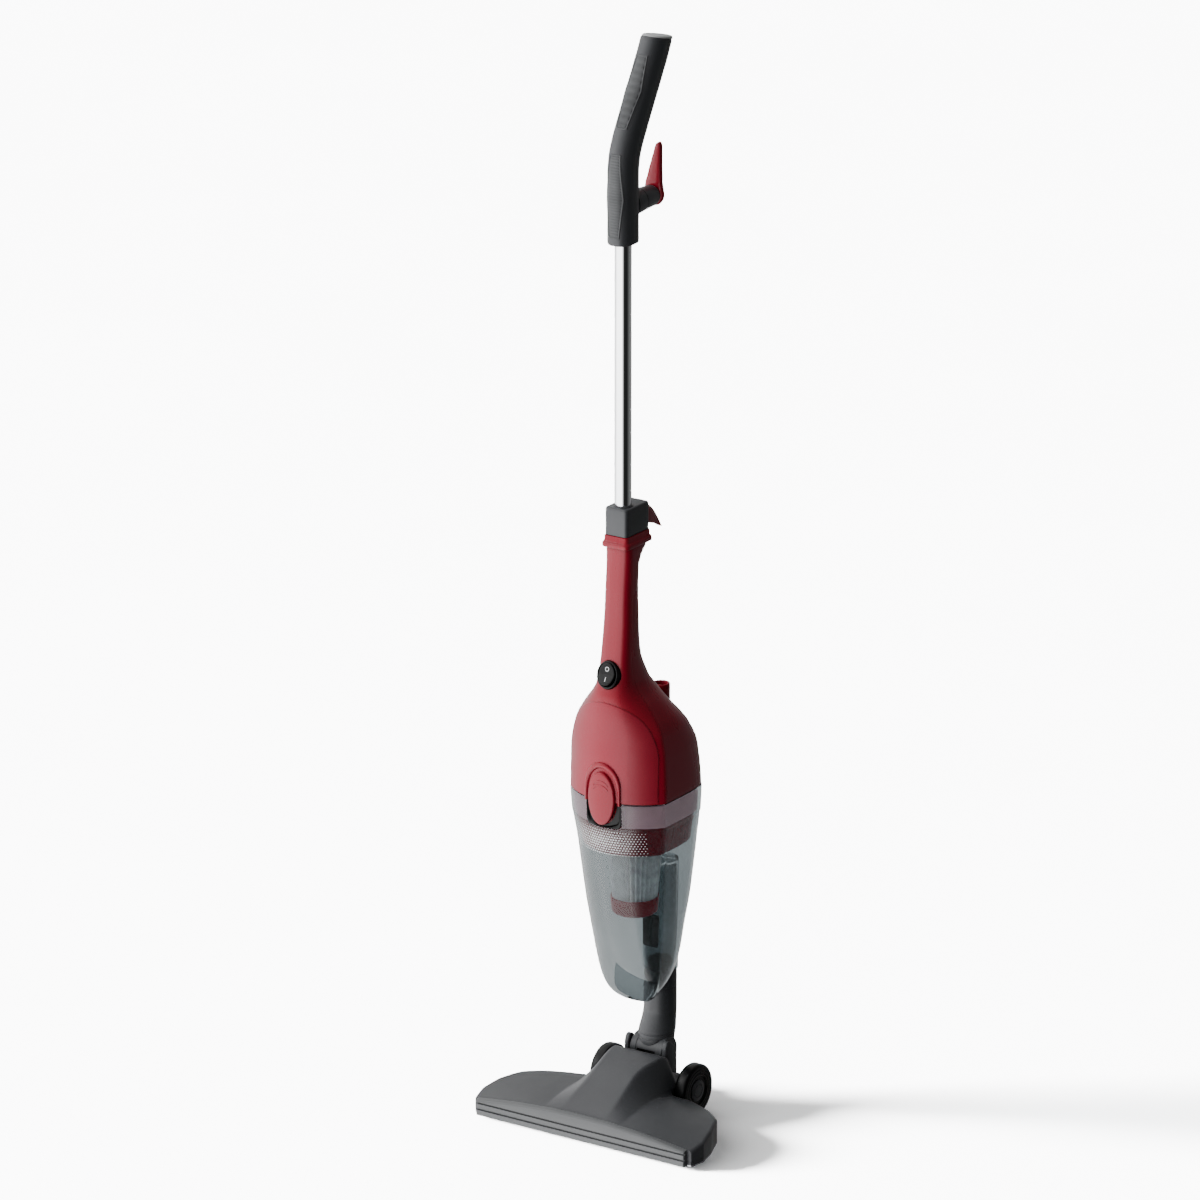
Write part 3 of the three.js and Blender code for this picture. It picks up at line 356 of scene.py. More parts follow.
def bristle(name):
    finish = Finish(name, 0.5, Specular_IOR_Level=0.4)
    finish.color((0.1, 0.1, 0.105), (0.22, 0.22, 0.23), 800, (1, 1, 0.1)).rough(200, 0.1)
    return finish.grain(900, 0.3, 0.0001, (1, 1, 0.05)).material


def copper(name):
    """Enamelled winding wire: close turns that show as fine bands."""
    finish = Finish(name, 0.3, Metallic=1.0, Coat_Weight=0.4)
    finish.color((0.6, 0.3, 0.18), (0.75, 0.42, 0.25), 80).rough(60, 0.08)
    turns = finish.tree.new("ShaderNodeTexWave", Scale=400, Distortion=1.0, bands_direction="Z")
    finish.tree.link(finish.coords, "Object", turns, "Vector")
    return finish.bump(turns, "Fac", 0.6, 0.0004).material


def pale_floor(name):
    finish = Finish(name, 0.6, Specular_IOR_Level=0.2)
    finish.color((0.955, 0.955, 0.957), (0.965, 0.965, 0.967), 2).rough(6, 0.05)
    return finish.material


# The finish of each slot's name, and four more for pieces whose colour differs from their slot's.
MATERIALS = {
    name: make(name, *values) for name, make, *values in (
        ("dark_grey_plastic", satin_plastic, (0.195, 0.2, 0.21), (0.225, 0.23, 0.24), 0.42, 0.25, 0.27),
        ("bumper_grey_plastic", satin_plastic, (0.28, 0.285, 0.29), (0.31, 0.315, 0.32), 0.42, 0.25, 0.27),
        ("light_grey_plastic", satin_plastic, (0.56, 0.565, 0.57), (0.62, 0.625, 0.63)),
        ("red_plastic", gloss_plastic, (0.47, 0.055, 0.12), (0.50, 0.065, 0.135)),
        ("black_plastic", satin_plastic, (0.012, 0.012, 0.014), (0.03, 0.03, 0.033), 0.35, 0.25, 0.14),
        ("dark_rubber", rubber, (0.1, 0.1, 0.105), (0.15, 0.15, 0.155)),
        ("foam", foam),
        ("smoky_clear_plastic", clear_plastic, (0.74, 0.765, 0.775), 0.02, (0.74, 0.76, 0.77)),
        ("chromed_steel", chrome),
        ("bare_steel", brushed_metal, (0.55, 0.56, 0.57), (0.7, 0.71, 0.72)),
        ("impeller_aluminium", brushed_metal, (0.72, 0.73, 0.74), (0.82, 0.83, 0.84)),
        ("copper_windings", copper),
        ("filter_paper", paper),
        ("bristles", bristle),
        ("pad_rubber", rubber, (0.22, 0.225, 0.23), (0.27, 0.275, 0.28)),
        ("rim_rose", satin_plastic, (0.90, 0.68, 0.72), (0.94, 0.74, 0.78), 0.4, 0.1),
        ("badge_red", satin_plastic, (0.48, 0.085, 0.145), (0.51, 0.095, 0.16), 0.36, 0.12, 0.2),
        ("print_white", satin_plastic, (0.78, 0.785, 0.79), (0.85, 0.855, 0.86), 0.5, 0.1),
    )
}


# ---- mesh building

def mesh_object(name, points, faces, smooth_angle=35):
    """An object from points in millimetres and faces, its normals facing out, smooth up to an angle."""
    mesh = bpy.data.meshes.new(name)
    mesh.from_pydata([at(*p) for p in points], [], faces)
    work = bmesh.new()
    work.from_mesh(mesh)
    bmesh.ops.remove_doubles(work, verts=work.verts, dist=1e-6)
    bmesh.ops.recalc_face_normals(work, faces=work.faces)
    work.to_mesh(mesh)
    work.free()
    return shade(add_object(name, mesh), smooth_angle)


def shade(obj, angle):
    """Smooth shading, with the edges sharper than the angle left sharp."""
    obj.data.shade_smooth()
    obj.data.set_sharp_from_angle(angle=radians(angle))
    return obj


def apply_modifier(obj, kind, **settings):
    modifier = obj.modifiers.new(kind.lower(), kind)
    for key, value in settings.items():
        setattr(modifier, key, value)
    graph = bpy.context.evaluated_depsgraph_get()
    mesh = bpy.data.meshes.new_from_object(obj.evaluated_get(graph))
    obj.modifiers.clear()
    old = obj.data
    obj.data = mesh
    bpy.data.meshes.remove(old)


def combine(obj, tool, operation="DIFFERENCE"):
    """Cuts, joins or intersects obj with a tool object, which is used up."""
    apply_modifier(obj, "BOOLEAN", object=tool, operation=operation, solver="EXACT")
    bpy.data.objects.remove(tool)
    return obj


def round_edges(obj, width, segments=3, angle=40):
    apply_modifier(obj, "BEVEL", width=width * MM, segments=segments, limit_method="ANGLE",
                   angle_limit=radians(angle), harden_normals=False)
    return shade(obj, 35)


def loft(name, rings, closed=True, capped=True, smooth_angle=35):
    """A surface through rings of points; closed joins each ring's ends, capped fills the first and last."""
    count = len(rings[0])
    points = [p for ring in rings for p in ring]
    faces = []
    for level in range(len(rings) - 1):
        for i in range(count if closed else count - 1):
            a = level * count + i
            b = level * count + (i + 1) % count
            faces.append((a, b, b + count, a + count))
    if capped:
        faces.append(tuple(reversed(range(count))))
        last = (len(rings) - 1) * count
        faces.append(tuple(range(last, last + count)))
    return mesh_object(name, points, faces, smooth_angle)


def round_trip(steps):
    """(cosine, sine) pairs of even steps round a full circle."""
    angles = [2 * pi * i / steps for i in range(steps)]
    return [(cos(a), sin(a)) for a in angles]


def circle(centre, radius, steps=64, axis="z"):
    """A ring of points about an axis; centre is (x, y, z)."""
    x, y, z = centre
    ring = []
    for cosine, sine in round_trip(steps):
        c = radius * cosine
        s = radius * sine
        ring.append({"z": (x + c, y + s, z), "x": (x, y + c, z + s), "y": (x + c, y, z + s)}[axis])
    return ring


def turned(name, profile, centre, axis="z", side=1, steps=72, angle=35):
    """A solid of revolution; profile is (radius, distance along the axis) pairs, axis to axis or closed."""
    x, y, z = centre
    rings = []
    for radius, along in profile:
        shift = {"z": (x, y, z + along), "x": (x + side * along, y, z), "y": (x, y + along, z)}[axis]
        rings.append(circle(shift, max(radius, 0.01), steps, axis))
    return loft(name, rings, smooth_angle=angle)


def prism(name, outline, axis, low, high, bevel=0, segments=3):
    """An outline in (y, z), (x, z) or (x, y) extruded along x, y or z, with rounded edges."""
    place = {
        "x": lambda a, b, d: (d, a, b),
        "y": lambda a, b, d: (a, d, b),
        "z": lambda a, b, d: (a, b, d),
    }[axis]
    obj = loft(name, [[place(a, b, d) for a, b in outline] for d in (low, high)])
    return round_edges(obj, bevel, segments) if bevel else obj


def rounded_box(x0, x1, y0, y1, radius, steps=8):
    """The outline of a rectangle with round corners."""
    outline = []
    for cx, cy, start in ((x1 - radius, y1 - radius, 0), (x0 + radius, y1 - radius, 90),
                          (x0 + radius, y0 + radius, 180), (x1 - radius, y0 + radius, 270)):
        for i in range(steps + 1):
            a = radians(start + 90 * i / steps)
            outline.append((cx + radius * cos(a), cy + radius * sin(a)))
    return outline


def oval(cx, cz, half_width, half_height, steps=72):
    return [(cx + half_width * c, cz + half_height * s) for c, s in round_trip(steps)]


def smoothstep(value, low, high):
    t = min(1, max(0, (value - low) / (high - low)))
    return t * t * (3 - 2 * t)


def spread(low, high, steps):
    return [low + (high - low) * i / steps for i in range(steps + 1)]


def column(stations, z):
    """All the values of a table of stations at a height, by monotone cubic interpolation."""
    heights = [s[0] for s in stations]
    last = len(heights) - 1
    z = min(max(z, heights[0]), heights[last])
    i = min(last - 1, max(k for k, h in enumerate(heights) if h <= z))
    span = heights[i + 1] - heights[i]
    t = (z - heights[i]) / span

    def slope(k, key):
        if k < 0 or k >= last:
            return 0
        return (stations[k + 1][key] - stations[k][key]) / (heights[k + 1] - heights[k])

    def tangent(k, key):
        before = slope(k - 1, key)
        after = slope(k, key)
        return 0 if before * after <= 0 else 2 * before * after / (before + after)

    return [
        stations[i][key] * (1 + 2 * t) * (1 - t) ** 2
        + stations[i + 1][key] * t * t * (3 - 2 * t)
        + tangent(i, key) * span * t * (1 - t) ** 2
        - tangent(i + 1, key) * span * t * t * (1 - t)
        for key in range(1, len(stations[0]))
    ]


def finish_piece(obj, body, slot, nodes=(), material=None, angle=None):
    """Gives a piece the material of its slot, or the one named, puts it on its body and hides the CAD nodes
    it stands for; angle shades it anew.
    """
    if angle:
        shade(obj, angle)
    obj.data.materials.clear()
    obj.data.materials.append(MATERIALS[material or slot])
    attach(obj, body)
    if nodes:
        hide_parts(*nodes)
    return obj


# ---- section of the hand unit and the bin

GAP = 0.3
WALL = 2.4
BIN_TOP = 356
BIN_WALL = 2.2
# The clear band round the bin's top stands out a little above this step.
BAND_PROUD = 0.5
BAND_STEP = (327.6, 328.4)
BIN_TILT = 0.3
NECK_TOP = 617
SPLIT_Y = 72
CREASE_ROUND = 2.4

# Height, half width, Y of the side crease, the front and the rear, half the sweep of the front face, and
# the powers that square up the front and rear curves.
BODY = [
    (356, 57.2, 71, 43, 155.5, 50, 2, 6), (400, 56, 71, 43.3, 153.5, 52, 2, 5),
    (424, 52.5, 71, 44, 144, 57, 2, 4.2), (435, 48.5, 71, 44.5, 137, 60, 2, 3.8),
    (446, 42, 71, 45, 128.5, 66, 2.1, 3.5), (456, 35, 71, 46, 122, 72, 2.2, 3.3),
    (466, 26.5, 71, 47.7, 117.5, 80, 2.4, 3.2), (476, 20.5, 71.5, 51, 111, 86, 2.7, 3),
    (487, 18.2, 72, 55, 105.5, 90, 3, 3), (500, 16.8, 72, 57, 99, 90, 3, 3),
    (515, 16.2, 73, 59, 95.5, 90, 3, 3), (540, 15.4, 75, 61.8, 94, 90, 3, 3),
    (570, 14.7, 76, 63.6, 93.5, 90, 3, 3), (595, 14.6, 77.5, 65.5, 94.5, 90, 3, 3),
    (606, 14.8, 78, 66, 100, 90, 3, 3.2), (NECK_TOP, 15, 78.5, 66, 109, 90, 3, 3.6),
]
BIN = [
    (122, 9, 110, 106, 134, 90, 2, 2), (126, 19, 102, 97.5, 145, 90, 2, 2.2),
    (132, 27, 98, 92, 150, 85, 2, 2.4), (140, 32, 95, 87.5, 153, 75, 2, 2.6),
    (150, 35.5, 93, 83, 154.5, 66, 2, 2.8), (165, 38.5, 91, 77, 155, 60, 2, 3),
    (195, 42.3, 87.5, 67.5, 155.5, 55, 2, 3.3), (230, 46.6, 84, 59, 155.5, 52, 2, 3.8),
    (265, 50.2, 81, 52, 155.5, 50, 2, 4.4), (301, 53.7, 78, 46.5, 155.5, 50, 2, 5),
    (335, 57, 73, 43.4, 155.5, 50, 2, 5.6), (BIN_TOP, 57.2, 71, 43, 155.5, 50, 2, 6),
]


def power(value, exponent):
    return copysign(abs(value) ** (2 / exponent), value)


def resample(points, count, cut=0):
    """count + 1 even points along an open path, with cut taken off both its ends."""
    lengths = [0]
    for a, b in zip(points, points[1:]):
        lengths.append(lengths[-1] + dist(a, b))
    result = []
    i = 0
    for target in spread(cut, lengths[-1] - cut, count):
        while i < len(points) - 2 and lengths[i + 1] < target:
            i += 1
        t = (target - lengths[i]) / max(1e-9, lengths[i + 1] - lengths[i])
        result.append(tuple(a + (b - a) * t for a, b in zip(points[i], points[i + 1])))
    return result


def rounded_corner(a, corner, b):
    """Three points on a curve that rounds a corner from a to b."""
    points = []
    for t in (0.25, 0.5, 0.75):
        weights = ((1 - t) ** 2, 2 * t * (1 - t), t * t)
        points.append(tuple(sum(w * p[k] for w, p in zip(weights, (a, corner, b))) for k in (0, 1)))
    return points


def section(stations, z, inset=0, height=None):
    """The tables' outline at a height, moved inwards: a ring of points with softened side creases."""
    half, crease, front, rear, sweep, front_power, rear_power = column(stations, z)
    half -= inset
    front += inset
    rear -= inset
    sweep = radians(sweep)
    reach = power(sin(sweep), front_power)
    drop = 1 - power(cos(sweep), front_power)
    face = []
    for angle in spread(-sweep, sweep, 100):
        depth = (1 - power(cos(angle), front_power)) / drop
        face.append((half * power(sin(angle), front_power) / reach, front + (crease - front) * depth))
    back = []
    for angle in spread(0, pi, 140):
        depth = power(sin(angle), rear_power)
        back.append((half * power(cos(angle), rear_power), crease + (rear - crease) * depth))
    cut = min(CREASE_ROUND, half * 0.12)
    face_run = resample(face, 44, cut)
    back_run = resample(back, 60, cut)
    ring = rounded_corner(back_run[-1], face[0], face_run[0]) + face_run
    ring += rounded_corner(face_run[-1], face[-1], back_run[0]) + back_run
    z = z if height is None else height
    return [(x, y, z) for x, y in ring]


def front_y(x, z):
    """Y of the hand unit's or the bin's front face."""
    stations = BODY if z > BIN_TOP else BIN
    half, crease, front, _, sweep, front_power, _ = column(stations, z)
    sweep = radians(sweep)
    sine = min(1, (abs(x) / half) ** (front_power / 2) * sin(sweep))
    cosine = sqrt(1 - sine * sine)
    depth = (1 - power(cosine, front_power)) / (1 - power(cos(sweep), front_power))
    return front + (crease - front) * depth


def lifted(surface, x, z, out):
    """The point of a surface y = surface(x, z), raised along its normal towards the front."""
    step = 0.2
    across = (surface(x + step, z) - surface(x - step, z)) / (2 * step)
    up = (surface(x, z + step) - surface(x, z - step)) / (2 * step)
    normal = Vector((across, -1, up)).normalized()
    return (x + out * normal.x, surface(x, z) + out * normal.y, z + out * normal.z)


def patch(name, edge, centre, surface, profile, fill=10, dome=0):
    """A panel on a surface; profile gives (distance in from the edge, height), dome lifts its middle."""
    cx, cz = centre

    def drawn_in(point, distance):
        span = dist(point, centre)
        t = 1 - distance / span
        return (cx + (point[0] - cx) * t, cz + (point[1] - cz) * t)

    rings = [[lifted(surface, *drawn_in(p, inwards), height) for p in edge] for inwards, height in profile]
    inner = [drawn_in(p, profile[-1][0]) for p in edge]
    for k in range(1, fill + 1):
        t = max(0.002, 1 - k / fill)
        height = profile[-1][1] + dome * (1 - t * t)
        rings.append([lifted(surface, cx + (x - cx) * t, cz + (z - cz) * t, height) for x, z in inner])
    return loft(name, rings, capped=False)


# ---- dust bin

DUCT = (0, 149.5)
DUCT_OUTER = 16
DUCT_BORE = 14
DUCT_BOTTOM = 147
DUCT_TOP = 261
BEZEL_HALF = 20.5
BEZEL_BOTTOM = 329.5
BEZEL_ARCH = (372, 26)


def bezel_outline(grow):
    """The button surround seen from the front: straight sides under an arched top."""
    half = BEZEL_HALF + grow
    centre, height = BEZEL_ARCH
    bottom = BEZEL_BOTTOM - grow
    outline = [(-half + 3, bottom), (half - 3, bottom), (half, bottom + 3)]
    for i in range(33):
        a = pi * i / 32
        outline.append((half * cos(a), centre + (height + grow) * sin(a)))
    return outline + [(-half, bottom + 3)]


def bin_ring(z, inset, height=None):
    """The bin's floor rises to the rear, so its lower rings lean back."""
    front = column(BIN, z)[2]
    tilt = BIN_TILT * smoothstep(250 - z, 0, 110)
    return [(x, y, h + tilt * (y - front)) for x, y, h in section(BIN, z, inset, height)]


def tube_cutter(name, centre, radius, low, high):
    return loft(name, [circle((*centre, z), radius, 72) for z in (low, high)])


def build_bin():
    heights = [122, 122.4, 123, 124, 125.5, 127.5, 130, 133, 137, 142, 148, 155]
    heights += sorted(spread(160, 352, 48) + [*BAND_STEP]) + [354.8, 355.5, 355.7]
    outer = [bin_ring(z, max(0, z - 355.2) * 0.8 - BAND_PROUD * smoothstep(z, *BAND_STEP)) for z in heights]
    inner = [bin_ring(z, BIN_WALL) for z in reversed([124.6, 124.75, 125.1, 125.7, 126.5] + heights[5:])]
    shell = loft("dust_bin_shell", outer + inner, smooth_angle=50)
    channel = tube_cutter("channel", DUCT, DUCT_OUTER + GAP + 1.9, 146, DUCT_TOP + 3)
    combine(shell, channel, "UNION")
    combine(shell, tube_cutter("bore", DUCT, DUCT_OUTER + GAP, 140, DUCT_TOP + GAP))
    combine(shell, tube_cutter("neck_room", DUCT, 17.5, 90, 146))
    combine(shell, prism("notch", bezel_outline(0.5), "y", 20, 66))
    finish_piece(shell, "dust_bin", "smoky_clear_plastic", ["bin_shell"], angle=32)

    duct = turned("dust_bin_duct", [
        (DUCT_BORE, DUCT_BOTTOM), (DUCT_OUTER - 0.6, DUCT_BOTTOM), (DUCT_OUTER, DUCT_BOTTOM + 0.6),
        (DUCT_OUTER, DUCT_TOP - 3), (DUCT_OUTER - 0.9, DUCT_TOP - 0.9), (DUCT_OUTER - 3, DUCT_TOP),
        (0, DUCT_TOP), (0, DUCT_TOP - 2.4), (DUCT_BORE, DUCT_TOP - 2.4), (DUCT_BORE, DUCT_BOTTOM),
    ], (*DUCT, 0))
    window = prism("window", rounded_box(-8.5, 8.5, 175, 205, 3), "y", 120, 143.5)
    combine(duct, window)
    finish_piece(duct, "dust_bin", "smoky_clear_plastic", ["inlet_duct"], angle=35)


def build_flap():
    flap = prism("inlet_flap_rubber", rounded_box(-10, 10, 173, 208, 2.5), "y", 131.4, 132.7, 0.3)
    finish_piece(flap, "inlet_flap", "dark_rubber", ["inlet_flap"])


PRINT_PROUD = 0.06
DOT_SIDES = 10
DOT_ROWS = 10
DOTS_EACH_SIDE = 14
DOT_PITCH = (2.85, 2.75)
DOT_LOWEST = 300.2
DOT_RADIUS = 0.95


def build_dot_print():
    """Rows of small white dots printed round the front of the bin, fading out to both sides."""
    centres = []
    middle = (DOT_ROWS - 1) / 2
    for row in range(DOT_ROWS):
        for col in range(-DOTS_EACH_SIDE, DOTS_EACH_SIDE + 1):
            across = col + 0.5 * (row % 2)
            fade = (abs(across) / (DOTS_EACH_SIDE + 0.5), abs(row - middle) / middle)
            centres.append((across * DOT_PITCH[0], DOT_LOWEST + row * DOT_PITCH[1], *fade))
    points = []
    faces = []
    for x, z, side, edge in centres:
        radius = DOT_RADIUS * (1 - 0.5 * side ** 2) * (1 - 0.3 * edge ** 2)
        base = len(points)
        points += [lifted(front_y, px, pz, PRINT_PROUD) for px, pz in oval(x, z, radius, radius, DOT_SIDES)]
        faces.append(tuple(range(base, base + DOT_SIDES)))
    dots = mesh_object("dust_bin_dot_print", points, faces)
    dots.visible_shadow = False
    finish_piece(dots, "dust_bin", "light_grey_plastic", material="print_white")


# ---- hand unit: shells

OUTLET_Y = 150
EXHAUST_SLOTS = (362, 366.4, 370.8, 375.2)


def shell_block(name):
    """The whole hollow red body, open at both ends, before it is split into its two shells."""
    heights = [356.3, 356.6, 357.1] + spread(361, 613, 84) + [616.0, 616.5, 616.7]
    ends = {356.3: 0.6, 356.6: 0.15, 616.5: 0.15, 616.7: 0.5}
    outer = [section(BODY, z, ends.get(z, 0)) for z in heights]
    inner = [section(BODY, z, WALL) for z in reversed(heights)]
    return loft(name, outer + inner + [outer[0]], capped=False, smooth_angle=50)


def slab(name, y0, y1, z0=340, z1=640, half=80):
    return prism(name, [(-half, z0), (half, z0), (half, z1), (-half, z1)], "y", y0, y1)


def build_shells():
    front = shell_block("front_shell")
    combine(front, slab("cut", SPLIT_Y - GAP / 2, 200))
    combine(front, prism("cut", bezel_outline(GAP), "y", 20, 66))
    combine(front, on_switch_axis("cut", [(13.1, -20), (13.1, 30)], 14.9 / 13.1))
    finish_piece(front, "hand_unit", "red_plastic", ["shell_front"], angle=35)

    rear = shell_block("rear_shell")
    combine(rear, slab("cut", 0, SPLIT_Y + GAP / 2))
    combine(rear, tube_cutter("cut", (0, OUTLET_Y), 9 + GAP, 387.7, 480))
    for z in EXHAUST_SLOTS:
        combine(rear, prism("cut", rounded_box(-26, 26, z, z + 2.2, 1), "y", 140, 170))
    finish_piece(rear, "hand_unit", "red_plastic", ["shell_rear"], angle=35)


def arch_edge():
    """The badge panel's edge: straight sides under a tall arch."""
    sides = [(52, 357.2 + 43 * i / 12) for i in range(12)]
    top = [(52 * cos(pi * i / 60), 400 + 60 * sin(pi * i / 60)) for i in range(61)]
    bottom = [(-52 + 104 * i / 30, 357.2) for i in range(1, 30)]
    return sides + top + [(-x, z) for x, z in reversed(sides)][:-1] + [(-52, 357.2)] + bottom


def build_badge():
    profile = [(0, -0.1), (0, 0.75), (0.15, 1.0), (0.45, 1.16), (0.9, 1.2)]
    panel = patch("badge_panel_plain", arch_edge(), (0, 400), front_y, profile, fill=22)
    finish_piece(panel, "hand_unit", "red_plastic", ["badge_panel"], "badge_red")


# ---- hand unit: button

BUTTON = (0, 360.5)
BUTTON_HALF = (15.2, 28)
BUTTON_GAP = 1.2


def build_button():
    edge = oval(*BUTTON, *BUTTON_HALF)
    profile = [(0, -1.6), (0, 3.3), (0.35, 4.1), (1.0, 4.6), (1.9, 4.85)]
    button = patch("release_button_face", edge, BUTTON, front_y, profile, fill=12, dome=0.4)
    finish_piece(button, "release_button", "red_plastic", ["release_button"], angle=35)

    for name, low, thick in (("upper", 375.5, 1.7), ("lower", 371, 1.2)):
        arc = []
        for i in range(17):
            a = radians(25 + 130 * i / 16)
            arc.append((9.5 * cos(a), low - 4 + 8.5 * sin(a)))
        rim = arc + [(x * 0.86, z - thick) for x, z in reversed(arc)]
        points = [lifted(front_y, x, z, 5.5) for x, z in rim] + [lifted(front_y, x, z, 4.6) for x, z in rim]
        count = len(rim)
        quads = [(i, i + 1, count - 2 - i, count - 1 - i) for i in range(16)]
        walls = [(i, (i + 1) % count, count + (i + 1) % count, count + i) for i in range(count)]
        chevron = mesh_object("button_arc_" + name, points, quads + walls)
        finish_piece(chevron, "release_button", "red_plastic")


def build_bezel():
    """The button's surround: a raised arch whose legs run down over the clear rim of the bin; below the bin's
    top the legs and the gap round the button are black plastic, painted shade.
    """
    outer = bezel_outline(0)
    centre = (0, 366)
    hole = oval(*BUTTON, BUTTON_HALF[0] + BUTTON_GAP, BUTTON_HALF[1] + BUTTON_GAP, 96)

    def reach(outline, angle):
        """Distance from the centre to an outline in a direction."""
        best = None
        for (x0, z0), (x1, z1) in zip(outline, outline[1:] + outline[:1]):
            dx, dz = cos(angle), sin(angle)
            ex, ez = x1 - x0, z1 - z0
            cross = dx * ez - dz * ex
            if abs(cross) < 1e-9:
                continue
            t = ((x0 - centre[0]) * ez - (z0 - centre[1]) * ex) / cross
            u = ((x0 - centre[0]) * dz - (z0 - centre[1]) * dx) / cross
            if t > 0 and -1e-6 <= u <= 1 + 1e-6:
                best = t if best is None else max(best, t)
        return best

    def collar(name, profile):
        """A band round the button; profile gives (share of the way in, height) pairs."""
        rings = []
        for angle in spread(0, 2 * pi, 144):
            far = reach(outer, angle)
            near = reach(hole, angle)
            ring = []
            for share, height in profile:
                d = far + (near - far) * share
                ring.append(lifted(front_y, centre[0] + d * cos(angle), centre[1] + d * sin(angle), height))
            rings.append(ring)
        return loft(name, rings, capped=False)

    surround = collar("button_surround", [
        (0, -3.4), (0, 2.2), (0.05, 3.0), (0.16, 3.6), (0.32, 3.8), (0.48, 3.6), (0.62, 2.9), (0.72, 1.6),
        (0.78, 0.7), (1, 0.5), (1, -3.4),
    ])
    combine(surround, slab("cut", 20, 66, 300, BIN_TOP - 0.8))
    finish_piece(surround, "hand_unit", "red_plastic", ["button_bezel"], angle=40)

    # A sunken band round the button in black plastic. Below the bin's top it is painted shade, the dark of
    # the shadow falling between the legs, the button and the clear rim.
    painted_shade_recess = collar("button_recess_painted_shade", [
        (0, -3.4), (0, 0.8), (0.06, 1.2), (0.18, 1.2), (0.3, 0.4), (0.4, -1.4), (1, -1.6), (1, -3.4),
    ])
    combine(painted_shade_recess, slab("cut", 20, 66, BIN_TOP - 0.8, 420))
    finish_piece(painted_shade_recess, "hand_unit", "black_plastic", angle=40)


# ---- hand unit: switch

SWITCH = (0, 55.3, 487)
SWITCH_LEAN = 13.7
SWITCH_THROW = 7
ROCKER_HALF = (9.3, 11.5)


def turn_x(point, degrees, centre):
    """A point turned about a line along X through a centre."""
    a = radians(degrees)
    x, y, z = point
    y -= centre[1]
    z -= centre[2]
    return (x, centre[1] + y * cos(a) - z * sin(a), centre[2] + y * sin(a) + z * cos(a))


def on_switch_axis(name, profile, stretch, lean=SWITCH_LEAN):
    """Something round about the switch's axis; profile is (radius, distance out) pairs."""
    x, y, z = SWITCH
    rings = []
    for radius, out in profile:
        flat = circle((x, y - out, z), max(radius, 0.01), 72, "y")
        tall = [(px, py, z + (pz - z) * stretch) for px, py, pz in flat]
        rings.append([turn_x(p, -lean, SWITCH) for p in tall])
    return loft(name, rings)


def build_switch():
    bezel = on_switch_axis("switch_surround", [
        (10.1, -4), (12.5, -4), (12.5, 3.2), (12.2, 4.0), (11.6, 4.4), (10.9, 4.3), (10.3, 3.7), (10.1, 2.8),
        (10.1, -4),
    ], 14.3 / 12.5)
    finish_piece(bezel, "hand_unit", "black_plastic", ["switch_bezel"])

    def face(w):
        """How far the rocker's hollow face stands out, at a height on it."""
        return min(7.0, 5.4 + 1.8 * abs(w) / ROCKER_HALF[1])

    def placed(u, w, out):
        """A point of the rocker, leaning with the switch and thrown to off."""
        x, y, z = SWITCH
        return turn_x((x + u, y - out, z + w), -SWITCH_LEAN - SWITCH_THROW, SWITCH)

    rings = []
    rim = [(1, 8), (1, 0.9), (0.985, 0.35), (0.95, 0.08)]
    for share, drop in rim + [(share, 0) for share in (0.9, 0.75, 0.6, 0.45, 0.3, 0.15, 0.002)]:
        ring = []
        for c, s in round_trip(72):
            w = ROCKER_HALF[1] * share * s
            ring.append(placed(ROCKER_HALF[0] * share * c, w, face(w) - drop))
        rings.append(ring)
    rocker = loft("switch_rocker", rings, capped=False)
    finish_piece(rocker, "power_switch", "black_plastic", ["power_switch"])

    def printed(outline):
        return [placed(u, w, face(w) + PRINT_PROUD) for u, w in outline]

    rings = [printed(oval(0, 5.2, radius, radius, 32)) for radius in (2.3, 1.7)]
    mark_off = loft("switch_mark_off", rings, capped=False)
    bar = printed([(-0.35, -7.4), (0.35, -7.4), (0.35, -3), (-0.35, -3)])
    mark_on = mesh_object("switch_mark_on", bar, [(0, 1, 2, 3)])
    for mark in (mark_off, mark_on):
        finish_piece(mark, "power_switch", "light_grey_plastic", material="print_white")


# ---- hand unit: ring, outlet and base


def stacked(name, levels, box, radius, steps=10):
    """A loft of rounded rectangles; levels are (z, inset)."""
    x0, x1, y0, y1 = box
    rings = []
    for z, inset in levels:
        outline = rounded_box(x0 + inset, x1 - inset, y0 + inset, y1 - inset, max(0.4, radius - inset), steps)
        rings.append([(x, y, z) for x, y in outline])
    return loft(name, rings)


def build_ring_and_outlet():
    ring = stacked("handle_ring", [
        (617.0, 0.9), (617.3, 0.35), (617.9, 0.0), (620.6, 0.0), (621.5, 0.2), (622.3, 0.8), (623.0, 1.6),
        (624.0, 2.1), (628.3, 2.3), (628.8, 2.5), (629.0, 3.0),
    ], (-16.5, 16.5, 63, 111), 6)
    combine(ring, stacked("cut", [(600, 0), (640, 0)], (-9.9, 9.9, 69.3, 90.3), 1))
    finish_piece(ring, "hand_unit", "red_plastic", ["neck_ring"])

    outlet = turned("cord_outlet_tube", [
        (0, 388), (8.6, 388), (9, 388.5), (9, 447.5), (9.0, 450.6), (8.6, 451.6), (7.8, 452), (7.1, 451.8),
        (6.6, 451.0), (6.5, 450), (6.5, 391), (0, 391),
    ], (0, OUTLET_Y, 0))
    finish_piece(outlet, "hand_unit", "red_plastic", ["cord_outlet"])


